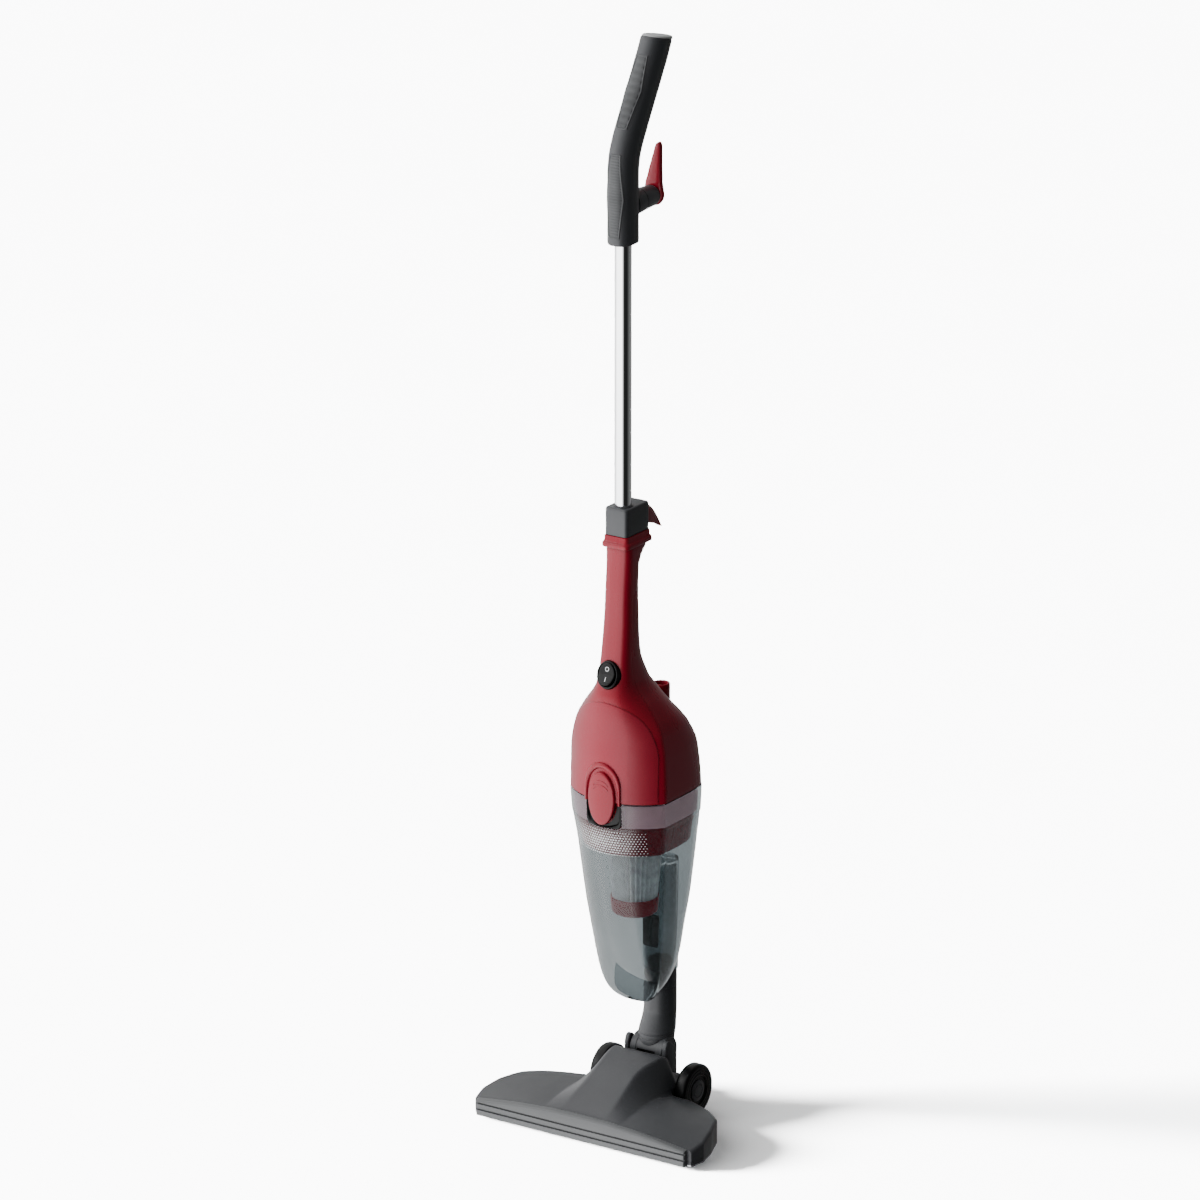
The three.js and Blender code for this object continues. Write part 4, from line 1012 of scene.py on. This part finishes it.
def build_base():
    inset = 5.6
    heights = [298, 298.4, 299.2] + spread(302, 352, 20)
    ends = {298: 1.0, 298.4: 0.35}
    outer = [section(BIN, z, inset + ends.get(z, 0)) for z in heights]
    inner = [section(BIN, z, inset + WALL) for z in reversed(heights) if z > 302]
    skirt = loft("motor_base_skirt", outer + inner)
    combine(skirt, tube_cutter("cut", (0, 102), 31.8, 280, 320))
    finish_piece(skirt, "hand_unit", "red_plastic", ["motor_base"], angle=35)

    heights = spread(330, 354, 12)
    outer = [section(BIN, z, BIN_WALL + 0.6) for z in heights]
    inner = [section(BIN, z, inset - GAP) for z in reversed(heights)]
    liner = loft("rim_liner_strip", outer + inner + [outer[0]], capped=False)
    combine(liner, prism("cut", bezel_outline(GAP), "y", 20, 66))
    finish_piece(liner, "hand_unit", "light_grey_plastic", ["rim_liner"], "rim_rose", angle=35)


# ---- filter

FILTER = (0, 102)
PLEATS = 30
PLEAT_DEPTH = 4.6


def build_filter():
    rings = []
    for z, radius in ((236, 23), (291, 28)):
        ring = []
        for i, (c, s) in enumerate(round_trip(PLEATS * 4)):
            r = radius - PLEAT_DEPTH * abs((i % 4) - 2) / 2
            ring.append((FILTER[0] + r * c, FILTER[1] + r * s, z))
        rings.append(ring)
    levels = []
    for k in range(9):
        t = k / 8
        levels.append([tuple(a + (b - a) * t for a, b in zip(p, q)) for p, q in zip(*rings)])
    pleats = loft("filter_folds", levels, smooth_angle=20)
    finish_piece(pleats, "filter", "filter_paper", ["filter_pleats"])

    cap = turned("filter_end_cap", [
        (0, 221), (19.5, 221), (21.5, 221.5), (23.0, 222.8), (23.6, 224.5), (24.2, 232), (24.6, 238.4),
        (24.3, 239), (23.6, 239), (23.6, 235.7), (0, 235.7),
    ], (*FILTER, 0))
    finish_piece(cap, "filter", "red_plastic", ["filter_cap"])

    frame_ring = turned("filter_socket_ring", [
        (26, 291.3), (28.6, 291.3), (29.6, 291.7), (31.0, 293.3), (31.5, 294.6), (31.5, 308.6), (31.1, 309),
        (26, 309), (26, 291.3),
    ], (*FILTER, 0))
    finish_piece(frame_ring, "filter", "red_plastic", ["filter_frame"])


# ---- floor head

HEAD_HALF = 135
FLOOR_GAP = 4
HEAD_FRONT_HALF = 126.5
BUMPER_DEPTH = 6
WHEEL_Y = 132.4
WHEEL_RADIUS = 27.6
PIVOT = (137, 61)
HEAD_FRONT = [(0, 0), (HEAD_FRONT_HALF, 0), (132.5, 8), (HEAD_HALF, 24)]
HEAD_REAR = [(0, 143), (43, 143), (44, 113), (70, 105), (100, 90), (119, 74), (130, 46), (HEAD_HALF, 24)]
# Y and height along the hump's middle line.
HUMP = [
    (0, 30), (27, 40), (50, 50), (71.5, 60), (90, 64.5), (108, 66), (116, 63), (124, 46), (143, 38),
]


def along_path(path, x):
    """Y of a path of (x, y) points at x."""
    for (x0, y0), (x1, y1) in zip(path, path[1:]):
        if x <= x1:
            return y0 + (y1 - y0) * (x - x0) / (x1 - x0)
    return path[-1][1]


# How far the hump's shoulders are rounded, as a share of their slope.
SHOULDER = 0.09


def head_top(x, y):
    """Height of the head: low wings and a hump with clear shoulders that climbs to the neck."""
    across = (x / HEAD_FRONT_HALF) ** 2
    front = 30 - 10 * across
    crest = 37 - 7 * across
    rise = sin(min(1, y / 58) * pi / 2)
    fall = 8 * (max(0, y - 58) / 50) ** 2
    wing = front + (crest - front) * rise - fall
    hump = column(HUMP, y)[0]
    inner = 24 - 2 * smoothstep(y, 20, 60) + 7 * smoothstep(y, 65, 112)
    slope = min(1, max(0, (abs(x) - inner) / (46 - inner)))
    fallen = slope ** 2 / (4 * SHOULDER) if slope < 2 * SHOULDER else slope - SHOULDER
    return wing + max(0, hump - wing) * (1 - fallen / (1 - SHOULDER))


def edge_distance(x, y):
    """How far a point of the head's plan lies in from its side and rear edges."""
    x = abs(x)
    nearest = 1e9
    for path in (HEAD_REAR, HEAD_FRONT[1:]):
        for (x0, y0), (x1, y1) in zip(path, path[1:]):
            length = hypot(x1 - x0, y1 - y0)
            t = min(1, max(0, ((x - x0) * (x1 - x0) + (y - y0) * (y1 - y0)) / length ** 2))
            nearest = min(nearest, hypot(x - x0 - t * (x1 - x0), y - y0 - t * (y1 - y0)))
    return nearest


def fillet(distance, radius):
    if distance >= radius:
        return 0
    return radius - sqrt(max(0, radius ** 2 - (radius - distance) ** 2))


def head_stations():
    """Positions along half of the head, closer together where its shape changes."""
    inner = spread(0, 20, 5) + spread(21.5, 42.4, 14) + [42.9, 43.02]
    outer = [43.9, 44.3, 45.2] + spread(47, 126, 40) + spread(127, 134, 10) + [134.4, 134.7, 134.85, 134.95]
    half = inner + outer
    return [-x for x in reversed(half[1:])] + half


def head_solid(name, y_limits, bottom, edge_radius):
    """The head between two lines across it, filled down to bottom, with its top edges rounded."""
    steps = [0, 0.003, 0.008, 0.016, 0.028, 0.045, 0.07] + spread(0.1, 0.9, 34)
    steps += [0.93, 0.955, 0.972, 0.984, 0.992, 0.997, 1]
    rings = []
    for x in head_stations():
        front = max(y_limits[0], along_path(HEAD_FRONT, abs(x)))
        rear = max(front + 0.02, min(y_limits[1], along_path(HEAD_REAR, abs(x))))
        top = []
        for t in steps:
            y = front + (rear - front) * t
            top.append((x, y, head_top(x, y) - fillet(edge_distance(x, y), edge_radius)))
        rings.append(top + [(x, rear, bottom), (x, front, bottom)])
    return loft(name, rings, smooth_angle=30)


def x_cutter(name, y, z, radius, x0, x1):
    return loft(name, [circle((x, y, z), radius, 72, "x") for x in (x0, x1)])


def block(name, x0, x1, y0, y1, z0, z1):
    return prism(name, [(x0, y0), (x1, y0), (x1, y1), (x0, y1)], "z", z0, z1)


EAR_INNER = 20.4
EAR_THICK = 5


def build_head():
    cover = head_solid("head_cover_moulding", (BUMPER_DEPTH + GAP, 143), FLOOR_GAP + 5, 3.2)
    combine(cover, block("cut", -112, 112, 14, 32, 0, 22))
    for side in (-1, 1):
        combine(cover, x_cutter("arch", WHEEL_Y, WHEEL_RADIUS, WHEEL_RADIUS + 2.6, side * 43, side * 61))
        low, high = sorted((side * (EAR_INNER - GAP), side * (EAR_INNER + EAR_THICK + GAP)))
        combine(cover, block("slot", low, high, 120.7, 142.8, 20, 90))
    combine(cover, x_cutter("socket", *PIVOT, 16.2, -20.3, 20.3))
    finish_piece(cover, "floor_head", "dark_grey_plastic", ["head_cover"], angle=30)


# The bumper's grooves: heights of their middles, and (distance back, height from the middle) of each.
GROOVE_HEIGHTS = (17.7, 11.0)
GROOVE = [(0, 1.2), (0.25, 0.9), (2.2, 0.75), (2.2, -0.75), (0.25, -0.9), (0, -1.2)]


def build_bumper():
    """The lighter strip across the front: a rounded nose with two grooves, wrapping round the corners."""
    def profile(top):
        """(distance back, height) pairs from the top's rear edge, over the nose, to the underside."""
        points = [(BUMPER_DEPTH, top), (2.2, top - 0.5), (1.1, top - 1.0), (0.35, top - 1.9), (0, top - 3.0)]
        for z in GROOVE_HEIGHTS:
            points += [(back, z + rise) for back, rise in GROOVE]
        return points + [(0, 5.6), (0.4, 4.5), (1.2, FLOOR_GAP), (BUMPER_DEPTH, FLOOR_GAP)]

    corner = 1.4
    straight = HEAD_FRONT_HALF - corner
    half = [(x, 0.0) for x in spread(0, straight, 40)]
    for i in range(1, 7):
        a = radians(90 * i / 6)
        half.append((straight + corner * sin(a), corner * (1 - cos(a))))
    rings = []
    for sign, points in ((-1, list(reversed(half[1:]))), (1, half)):
        for x, shift in points:
            top = head_top(x, BUMPER_DEPTH)
            scale = (BUMPER_DEPTH - shift) / BUMPER_DEPTH
            rings.append([(sign * x, BUMPER_DEPTH - (BUMPER_DEPTH - y) * scale, z) for y, z in profile(top)])
    bumper = loft("bumper_strip", rings, smooth_angle=28)
    finish_piece(bumper, "floor_head", "bumper_grey_plastic", ["front_bumper"])


def build_axles_and_ears():
    for name, side in (("left", -1), ("right", 1)):
        outline = [
            (121.3, 36), (142.3, 36), (142.3, 60), (141.6, 64), (139.6, 67.2), (136.5, 69.4), (131, 74.2),
            (129.4, 75.3), (127.4, 75.8), (125.4, 75.3), (123.6, 73.8), (121.8, 70.2), (121.3, 67.6),
        ]
        low, high = sorted((side * EAR_INNER, side * (EAR_INNER + EAR_THICK)))
        ear = prism("neck_bracket_" + name, outline, "x", low, high, 0.9, 3)
        finish_piece(ear, "floor_head", "dark_grey_plastic", ["neck_ear_" + name], angle=35)
        pin = turned("neck_pin_" + name, [(0, 14.5), (4.7, 14.5), (5, 14.8), (5, 22), (0, 22)],
                     (0, *PIVOT), "x", side)
        finish_piece(pin, "floor_head", "dark_grey_plastic")


def build_wheels():
    inner = 44.4
    outer = 58.4
    for name, side in (("left", -1), ("right", 1)):
        profile = [(4.4, inner), (23.5, inner), (24.8, inner + 0.2), (26.4, inner + 1.0), (27.3, inner + 2.3)]
        profile += [(27.6, inner + 3.4), (27.6, outer - 3.6)]
        profile += [(27.3, outer - 2.2), (26.5, outer - 0.9), (25.3, outer - 0.2), (24.2, outer)]
        for radius in (22.2, 18.6):
            profile += [(radius + 0.5, outer), (radius + 0.2, outer - 0.9), (radius - 0.2, outer - 0.9),
                        (radius - 0.5, outer)]
        profile += [(16.4, outer), (15.9, outer - 0.3), (15.6, outer - 1.5), (12.2, outer - 1.6)]
        profile += [(12.0, outer - 3), (4.4, outer - 3), (4.4, inner)]
        wheel = turned("wheel_tyre_" + name, profile, (0, WHEEL_Y, WHEEL_RADIUS), "x", side, 96, 30)
        finish_piece(wheel, "wheel_" + name, "black_plastic", ["wheel_" + name])
        cap = turned("wheel_cap_" + name, [
            (0, outer - 1.9), (11.2, outer - 1.9), (11.4, outer - 1.2), (11.2, outer - 0.7),
            (10.2, outer - 0.35), (7.4, outer + 0.05), (7.1, outer - 0.5), (6.5, outer - 0.5),
            (6.2, outer + 0.1), (0, outer + 0.2),
        ], (0, WHEEL_Y, WHEEL_RADIUS), "x", side, 72, 30)
        finish_piece(cap, "wheel_" + name, "dark_grey_plastic", ["hub_cap_" + name])


STRIP_WIDTH = 2.6
TUFTS = 86
TUFT_PITCH = 2.52
FIRST_TUFT_X = -107.4
BRISTLES_EACH = 22


def build_bristles():
    """Tufts of fine bristle in two rows beside the mouth."""
    random.seed(7)
    for name, y0 in (("front", 11.2), ("rear", 33)):
        points = []
        faces = []
        for tuft in range(TUFTS):
            for _ in range(BRISTLES_EACH):
                x = FIRST_TUFT_X + TUFT_PITCH * tuft + random.uniform(-0.85, 0.85)
                y = y0 + STRIP_WIDTH / 2 + random.uniform(-1.0, 1.0)
                tip_x = x + random.uniform(-0.5, 0.5)
                tip_y = y + random.uniform(-0.45, 0.45)
                tip_z = 1.0 + random.uniform(0, 0.7)
                base = len(points)
                points += circle((x, y, 6.6), 0.14, 3) + circle((tip_x, tip_y, tip_z), 0.1, 3)
                sides = ((0, 1, 4, 3), (1, 2, 5, 4), (2, 0, 3, 5), (3, 4, 5))
                faces += [tuple(base + corner for corner in side) for side in sides]
        tufts = mesh_object("brush_bristles_" + name, points, faces)
        finish_piece(tufts, "floor_head", "bristles")
        outline = rounded_box(-108, 108, y0, y0 + STRIP_WIDTH, 1.1)
        holder = prism("brush_holder_" + name, outline, "z", 4.4, 6.7, 0.3)
        finish_piece(holder, "floor_head", "bristles", ["brush_strip_" + name])


# ---- neck

# Height, Y of the middle, half width and half depth of the neck's pipe.
NECK = [
    (62, 141, 18.6, 17.5), (73, 142, 19.2, 18.6), (80, 144, 19.2, 18.4), (92, 147.5, 17.8, 17.6),
    (103, 149.5, 17.1, 17.1), (145.5, 149.5, 17.1, 17.1),
]


def build_neck():
    rings = []
    grooves = {73.2: 0.0, 73.6: 0.6, 74.4: 0.6, 74.8: 0.0, 77.6: 0.0, 78.0: 0.6, 78.8: 0.6, 79.2: 0.0,
               126.0: 0.0, 126.3: 0.35, 126.9: 0.35, 127.2: 0.0}
    heights = sorted(list(grooves) + [62.2, 64, 66, 68, 70, 72] + spread(81, 125, 22) + spread(129, 145, 8))
    for z in heights + [145.3, 145.5]:
        y, half_x, half_y = column(NECK, z)
        shrink = grooves.get(z, 0) + (0.4 if z == 145.5 else 0)
        rings.append([(px, py, z) for px, py in oval(0, y, half_x - shrink, half_y - shrink)])
    inside = [(146, 12.6), (110, 12.0), (92, 14.5), (73, 15.5), (62.2, 14)]
    for z, radius in inside:
        y = column(NECK, min(z, 145.5))[0]
        rings.append([(px, py, z) for px, py in oval(0, y, radius, radius)])
    neck = loft("neck_pipe", rings + [rings[0]], capped=False, smooth_angle=30)
    combine(neck, x_cutter("saddle", *PIVOT, 15.3, -30, 30))
    finish_piece(neck, "neck", "dark_grey_plastic", ["neck_tube"], angle=30)

    spigot = turned("neck_spigot", [
        (11.6, 143), (13.5, 143), (13.5, 154.4), (12.9, 155.5), (11.9, 155.5), (11.6, 155.1), (11.6, 143),
    ], (*DUCT, 0))
    finish_piece(spigot, "neck", "dark_grey_plastic")

    barrel = turned("neck_joint_barrel", [
        (5.3, -19.5), (14.2, -19.5), (15, -18.8), (15, -12.6), (14.4, -12.2), (14.4, 12.2), (15, 12.6),
        (15, 18.8), (14.2, 19.5), (5.3, 19.5),
    ], (0, *PIVOT), "x")
    combine(barrel, block("cut", -11, 11, PIVOT[0] - 6, PIVOT[0] + 9, PIVOT[1] + 4, 95))
    combine(barrel, block("cut", -11, 11, PIVOT[0] - 30, PIVOT[0] - 3, PIVOT[1] - 9, PIVOT[1] + 2))
    finish_piece(barrel, "neck", "dark_grey_plastic", ["neck_barrel"], angle=35)

    clip_outline = [
        (164.9, 112.3), (167.6, 108.5), (168.6, 109), (169.7, 112), (170, 114.5), (170, 148.2),
        (169.3, 149.8), (168.5, 149.8), (167.9, 148.6), (167.9, 122.4), (164.9, 119.8),
    ]
    clip = prism("bin_clip", clip_outline, "x", -6, 6, 0.5, 2)
    finish_piece(clip, "neck", "black_plastic", ["neck_clip"], angle=35)


# ---- stick

TUBE_Y = 79.8


def build_collar():
    collar = stacked("stick_collar_block", [
        (629.3, 0.5), (629.7, 0.1), (630.1, 0), (655.6, 0), (656.9, 0.3), (657.6, 0.8), (658, 1.6),
    ], (-13.5, 13.5, 66, 108), 4)
    combine(collar, tube_cutter("cut", (0, TUBE_Y), 9.3, 640, 670))
    combine(collar, prism("cut", rounded_box(-5.3, 5.3, 629, 656, 1), "y", 104, 120))
    finish_piece(collar, "stick", "dark_grey_plastic", ["stick_collar"], angle=35)
    lip = turned("collar_lip", [
        (8.7, 640), (9.3, 640), (9.3, 656.6), (10.4, 657.6), (10.4, 658.6), (9.6, 659.2), (8.9, 658.9),
        (8.7, 658.2), (8.7, 640),
    ], (0, TUBE_Y, 0))
    finish_piece(lip, "stick", "dark_grey_plastic")
    spigot = stacked("stick_spigot", [
        (600, 1.2), (601, 0.3), (602, 0), (631, 0),
    ], (-9.6, 9.6, 69.6, 90), 3)
    finish_piece(spigot, "stick", "dark_grey_plastic")


def build_beak():
    """The lower cord hook: a blade that curves out and down to a point behind the collar."""
    # Y and height of the blade's upper and lower edges, from the collar to the point.
    edges = [
        (104.3, 655.4, 104.3, 630.2), (108.3, 655.4, 108.3, 630.2), (114, 653.4, 114, 630.1),
        (121, 649.4, 120, 629.4), (128.5, 643.6, 126, 627.6), (135.5, 636, 132, 625.8),
        (141.5, 627.8, 138, 623.4), (145.6, 621, 143, 620.6), (146.8, 619.2, 146.2, 618.9),
    ]
    rings = []
    for y0, z0, y1, z1 in edges:
        middle = ((y0 + y1) / 2, (z0 + z1) / 2)
        height = dist((y0, z0), (y1, z1)) / 2
        up = ((y0 - y1) / (2 * height), (z0 - z1) / (2 * height))
        width = 4.9 - 2.2 * smoothstep(y0, 118, 147)
        ring = []
        for c, s in round_trip(28):
            rise = height * power(s, 4)
            ring.append((width * power(c, 4), middle[0] + rise * up[0], middle[1] + rise * up[1]))
        rings.append(ring)
    beak = loft("lower_cord_hook_blade", rings)
    finish_piece(beak, "stick", "red_plastic", ["lower_cord_hook"])


def build_tube():
    tube = turned("chrome_tube", [
        (7.5, 604), (8.2, 604), (8.5, 604.3), (8.5, 961.7), (8.2, 962), (7.5, 962), (7.5, 604),
    ], (0, TUBE_Y, 0), steps=96)
    combine(tube, loft("cut", [circle((0, y, 944), 3.3, 32, "y") for y in (84, 96)]))
    finish_piece(tube, "stick", "chromed_steel", ["extension_tube"], angle=35)


# Height, Y and backward lean in degrees along the grip's middle line.
GRIP = [
    (929, 79.5, 0), (970, 79.5, 0), (1000, 79.5, 3), (1013, 81, 12), (1022, 83.4, 20), (1031.6, 87.6, 27),
    (1049.6, 97.3, 29.5), (1085.5, 117.7, 29.5), (1112, 132.6, 24), (1124, 138.6, 15), (1127, 140.5, 11),
]
GRIP_HALF = (13.9, 17.2)
GRIP_POWER = 2.3


def grip_ring(z, inset, steps=72):
    y, lean = column(GRIP, z)
    lean = radians(lean)
    ring = []
    for c, s in round_trip(steps):
        x = (GRIP_HALF[0] - inset) * power(c, GRIP_POWER)
        along = (GRIP_HALF[1] - inset) * power(s, GRIP_POWER)
        ring.append((x, y + along * cos(lean), z - along * sin(lean)))
    return ring


def grip_y(x, z):
    """Y of the grip's front face."""
    reach = GRIP_HALF[1] * max(0, 1 - (abs(x) / GRIP_HALF[0]) ** GRIP_POWER) ** (1 / GRIP_POWER)
    station = z
    for _ in range(8):
        y, lean = column(GRIP, station)
        station = z - reach * sin(radians(lean))
    y, lean = column(GRIP, station)
    return y - reach * cos(radians(lean))


def build_grip():
    heights = [929, 929.3, 930, 931] + spread(934, 1120, 62) + [1122, 1123.3, 1124]
    ends = {929: 1.1, 929.3: 0.55, 930: 0.15, 1123.3: 0.1, 1124: 0.5}
    rings = [grip_ring(z, ends.get(z, 0)) for z in heights]
    body = loft("grip_body", rings, smooth_angle=40)
    combine(body, tube_cutter("cut", (0, TUBE_Y), 8.9, 920, 962.3))
    combine(body, loft("cut", [circle((0, y, 944), 3.4, 32, "y") for y in (86, 110)]))
    finish_piece(body, "stick", "dark_grey_plastic", ["grip"], angle=40)

    cap = loft("grip_top_cap", [grip_ring(z, inset) for z, inset in (
        (1124.2, 1.0), (1124.5, 0.3), (1125.2, 0.25), (1126.0, 0.7), (1126.6, 1.6), (1126.9, 3.0))])
    finish_piece(cap, "stick", "light_grey_plastic", ["grip_end_cap"])


# Each pad's name, low, widest and high stations, half widths at its ends and its widest, rib pitch and depth.
PADS = [
    ("lower", 937, 977, 1022, 6.3, 10.2, 2.9, 0.35),
    ("upper", 1045, 1079, 1112, 6.3, 9.6, 6.6, 0.6),
]


def build_pads():
    """Soft pads let into the front of the grip: long hexagons with a raised rim and fine ribs."""
    for name, low, middle, high, end, widest, pitch, depth in PADS:
        rows = spread(low, high, round((high - low) / 0.45))
        columns = 34
        rings = []
        for z in rows:
            t = (z - low) / (middle - low) if z < middle else (high - z) / (high - middle)
            half = end + (widest - end) * t
            ring = []
            for i in range(columns + 1):
                u = 2 * i / columns - 1
                x = half * copysign(abs(u) ** 0.75, u)
                margin = min(half - abs(x), z - low, high - z)
                rim = 0.85 * smoothstep(margin, 0, 0.5) - 0.75 * smoothstep(margin, 1.1, 1.7)
                wave = 0.5 - 0.5 * cos(2 * pi * (z - low) / pitch)
                ribs = depth * smoothstep(margin, 1.7, 2.4) * wave
                ring.append(lifted(grip_y, x, z, -0.05 + rim + ribs))
            rings.append(ring)
        pad = loft("grip_pad_" + name, rings, closed=False, capped=False, smooth_angle=60)
        finish_piece(pad, "stick", "dark_rubber", ["grip_insert_" + name], "pad_rubber")


HOOK_Z = 966


def build_hooks():
    post = turned("hook_post_stem", [
        (0, 92), (13, 92), (12.1, 104), (11.9, 106.5), (11.5, 106.8), (11.5, 107.6), (11.8, 107.9),
        (10.7, 128.4), (10.2, 129.9), (9.4, 130.5), (0, 130.5),
    ], (0, 0, HOOK_Z), "y")
    finish_piece(post, "stick", "dark_grey_plastic", ["hook_post"])

    def outline(z):
        """Half width, front and rear Y and ridge height of the hook's blade at a height."""
        return column([
            (954.6, 0.6, 131.6, 137.4, 0), (955.6, 4.9, 131.2, 138.0, 0), (958, 8.1, 131.0, 138.2, 0),
            (961.5, 10.4, 131.0, 138.4, 0), (966, 11.4, 131.0, 138.6, 0), (975, 9.9, 131.0, 139.0, 0.5),
            (979.5, 9.1, 131.0, 139.2, 0.9), (981.5, 8.7, 131.8, 140.2, 1.0), (990, 7.3, 133.6, 141.4, 1.0),
            (1005, 4.8, 137.6, 144.6, 0.9), (1013, 3.5, 139.8, 146.0, 0.6), (1015.8, 2.5, 140.8, 146.2, 0.3),
            (1017.0, 0.8, 141.8, 145.8, 0),
        ], z)

    rings = []
    heights = [954.6, 954.9, 955.3, 956, 957] + spread(958.5, 1013, 42)
    for z in heights + [1014, 1015, 1015.8, 1016.4, 1016.8, 1017]:
        half, front, rear, ridge = outline(z)
        middle = (front + rear) / 2
        depth = (rear - front) / 2
        ring = []
        for c, s in round_trip(40):
            x = half * power(c, 3.4)
            y = middle + depth * power(s, 3.4)
            if s > 0:
                y += ridge * max(0, 1 - abs(x) / max(0.5, half * 0.55)) - ridge * 0.4
            ring.append((x, y, z))
        rings.append(ring)
    hook = loft("upper_cord_hook_blade", rings, smooth_angle=40)
    finish_piece(hook, "cord_hook", "red_plastic", ["upper_cord_hook"])

    knob = turned("tube_lock_button", [
        (0, 87), (2.8, 87), (2.75, 97.2), (2.5, 98.2), (1.9, 98.8), (0.9, 99.0), (0, 99.05),
    ], (0, 0, 944), "y", steps=40)
    finish_piece(knob, "tube_button", "black_plastic", ["tube_button"])


# ---- assembly

def dress_cad_nodes():
    """CAD solids that stay as they are get the finished materials of their slots."""
    slots = {part["node"]: part["material_slot"] for part in frame["record"]["subparts"]}
    for node, slot in slots.items():
        obj = bpy.data.objects.get(node)
        if obj:
            obj.data.materials.clear()
            obj.data.materials.append(MATERIALS[slot])


# The floor has a lamp of its own, as bright as the backdrop, with its direction and the softness in degrees.
FLOOR_SIZE_M = 60
FLOOR_GLOW = 11
WASH_AZIMUTH = -58
WASH_ELEVATION = 18
WASH_SPREAD = 17


def add_floor():
    """A plain floor that reflects in nothing; returns the collection its own lamp is limited to."""
    bpy.ops.mesh.primitive_plane_add(size=FLOOR_SIZE_M, location=(0, 0, 0))
    floor = bpy.context.object
    floor.name = "floor"
    floor.data.materials.append(pale_floor("pale_floor"))
    floor.visible_glossy = False
    floor.visible_diffuse = False
    floor.visible_transmission = False
    lit = bpy.data.collections.new("lit_floor")
    lit.objects.link(floor)
    return lit


def add_lights(floor_only):
    add_area_light("key", azimuth=-48, elevation=26, distance=3.2, size=1.2, size_y=1.6, power=40)
    floor_light = bpy.data.lights.new("floor_wash", "SUN")
    floor_light.energy = FLOOR_GLOW * pi / sin(radians(WASH_ELEVATION))
    floor_light.angle = radians(WASH_SPREAD)
    wash = add_object("floor_wash", floor_light)
    wash.location = direction(WASH_AZIMUTH, WASH_ELEVATION) * 4
    aim(wash, Vector((0, 0, 0)))
    wash.light_linking.receiver_collection = floor_only


add_camera()
add_world()
add_lights(add_floor())
dress_cad_nodes()
build_head()
build_bumper()
build_axles_and_ears()
build_wheels()
build_bristles()
build_neck()
build_bin()
build_flap()
build_dot_print()
build_shells()
build_badge()
build_button()
build_bezel()
build_switch()
build_ring_and_outlet()
build_base()
build_filter()
build_collar()
build_beak()
build_tube()
build_grip()
build_pads()
build_hooks()
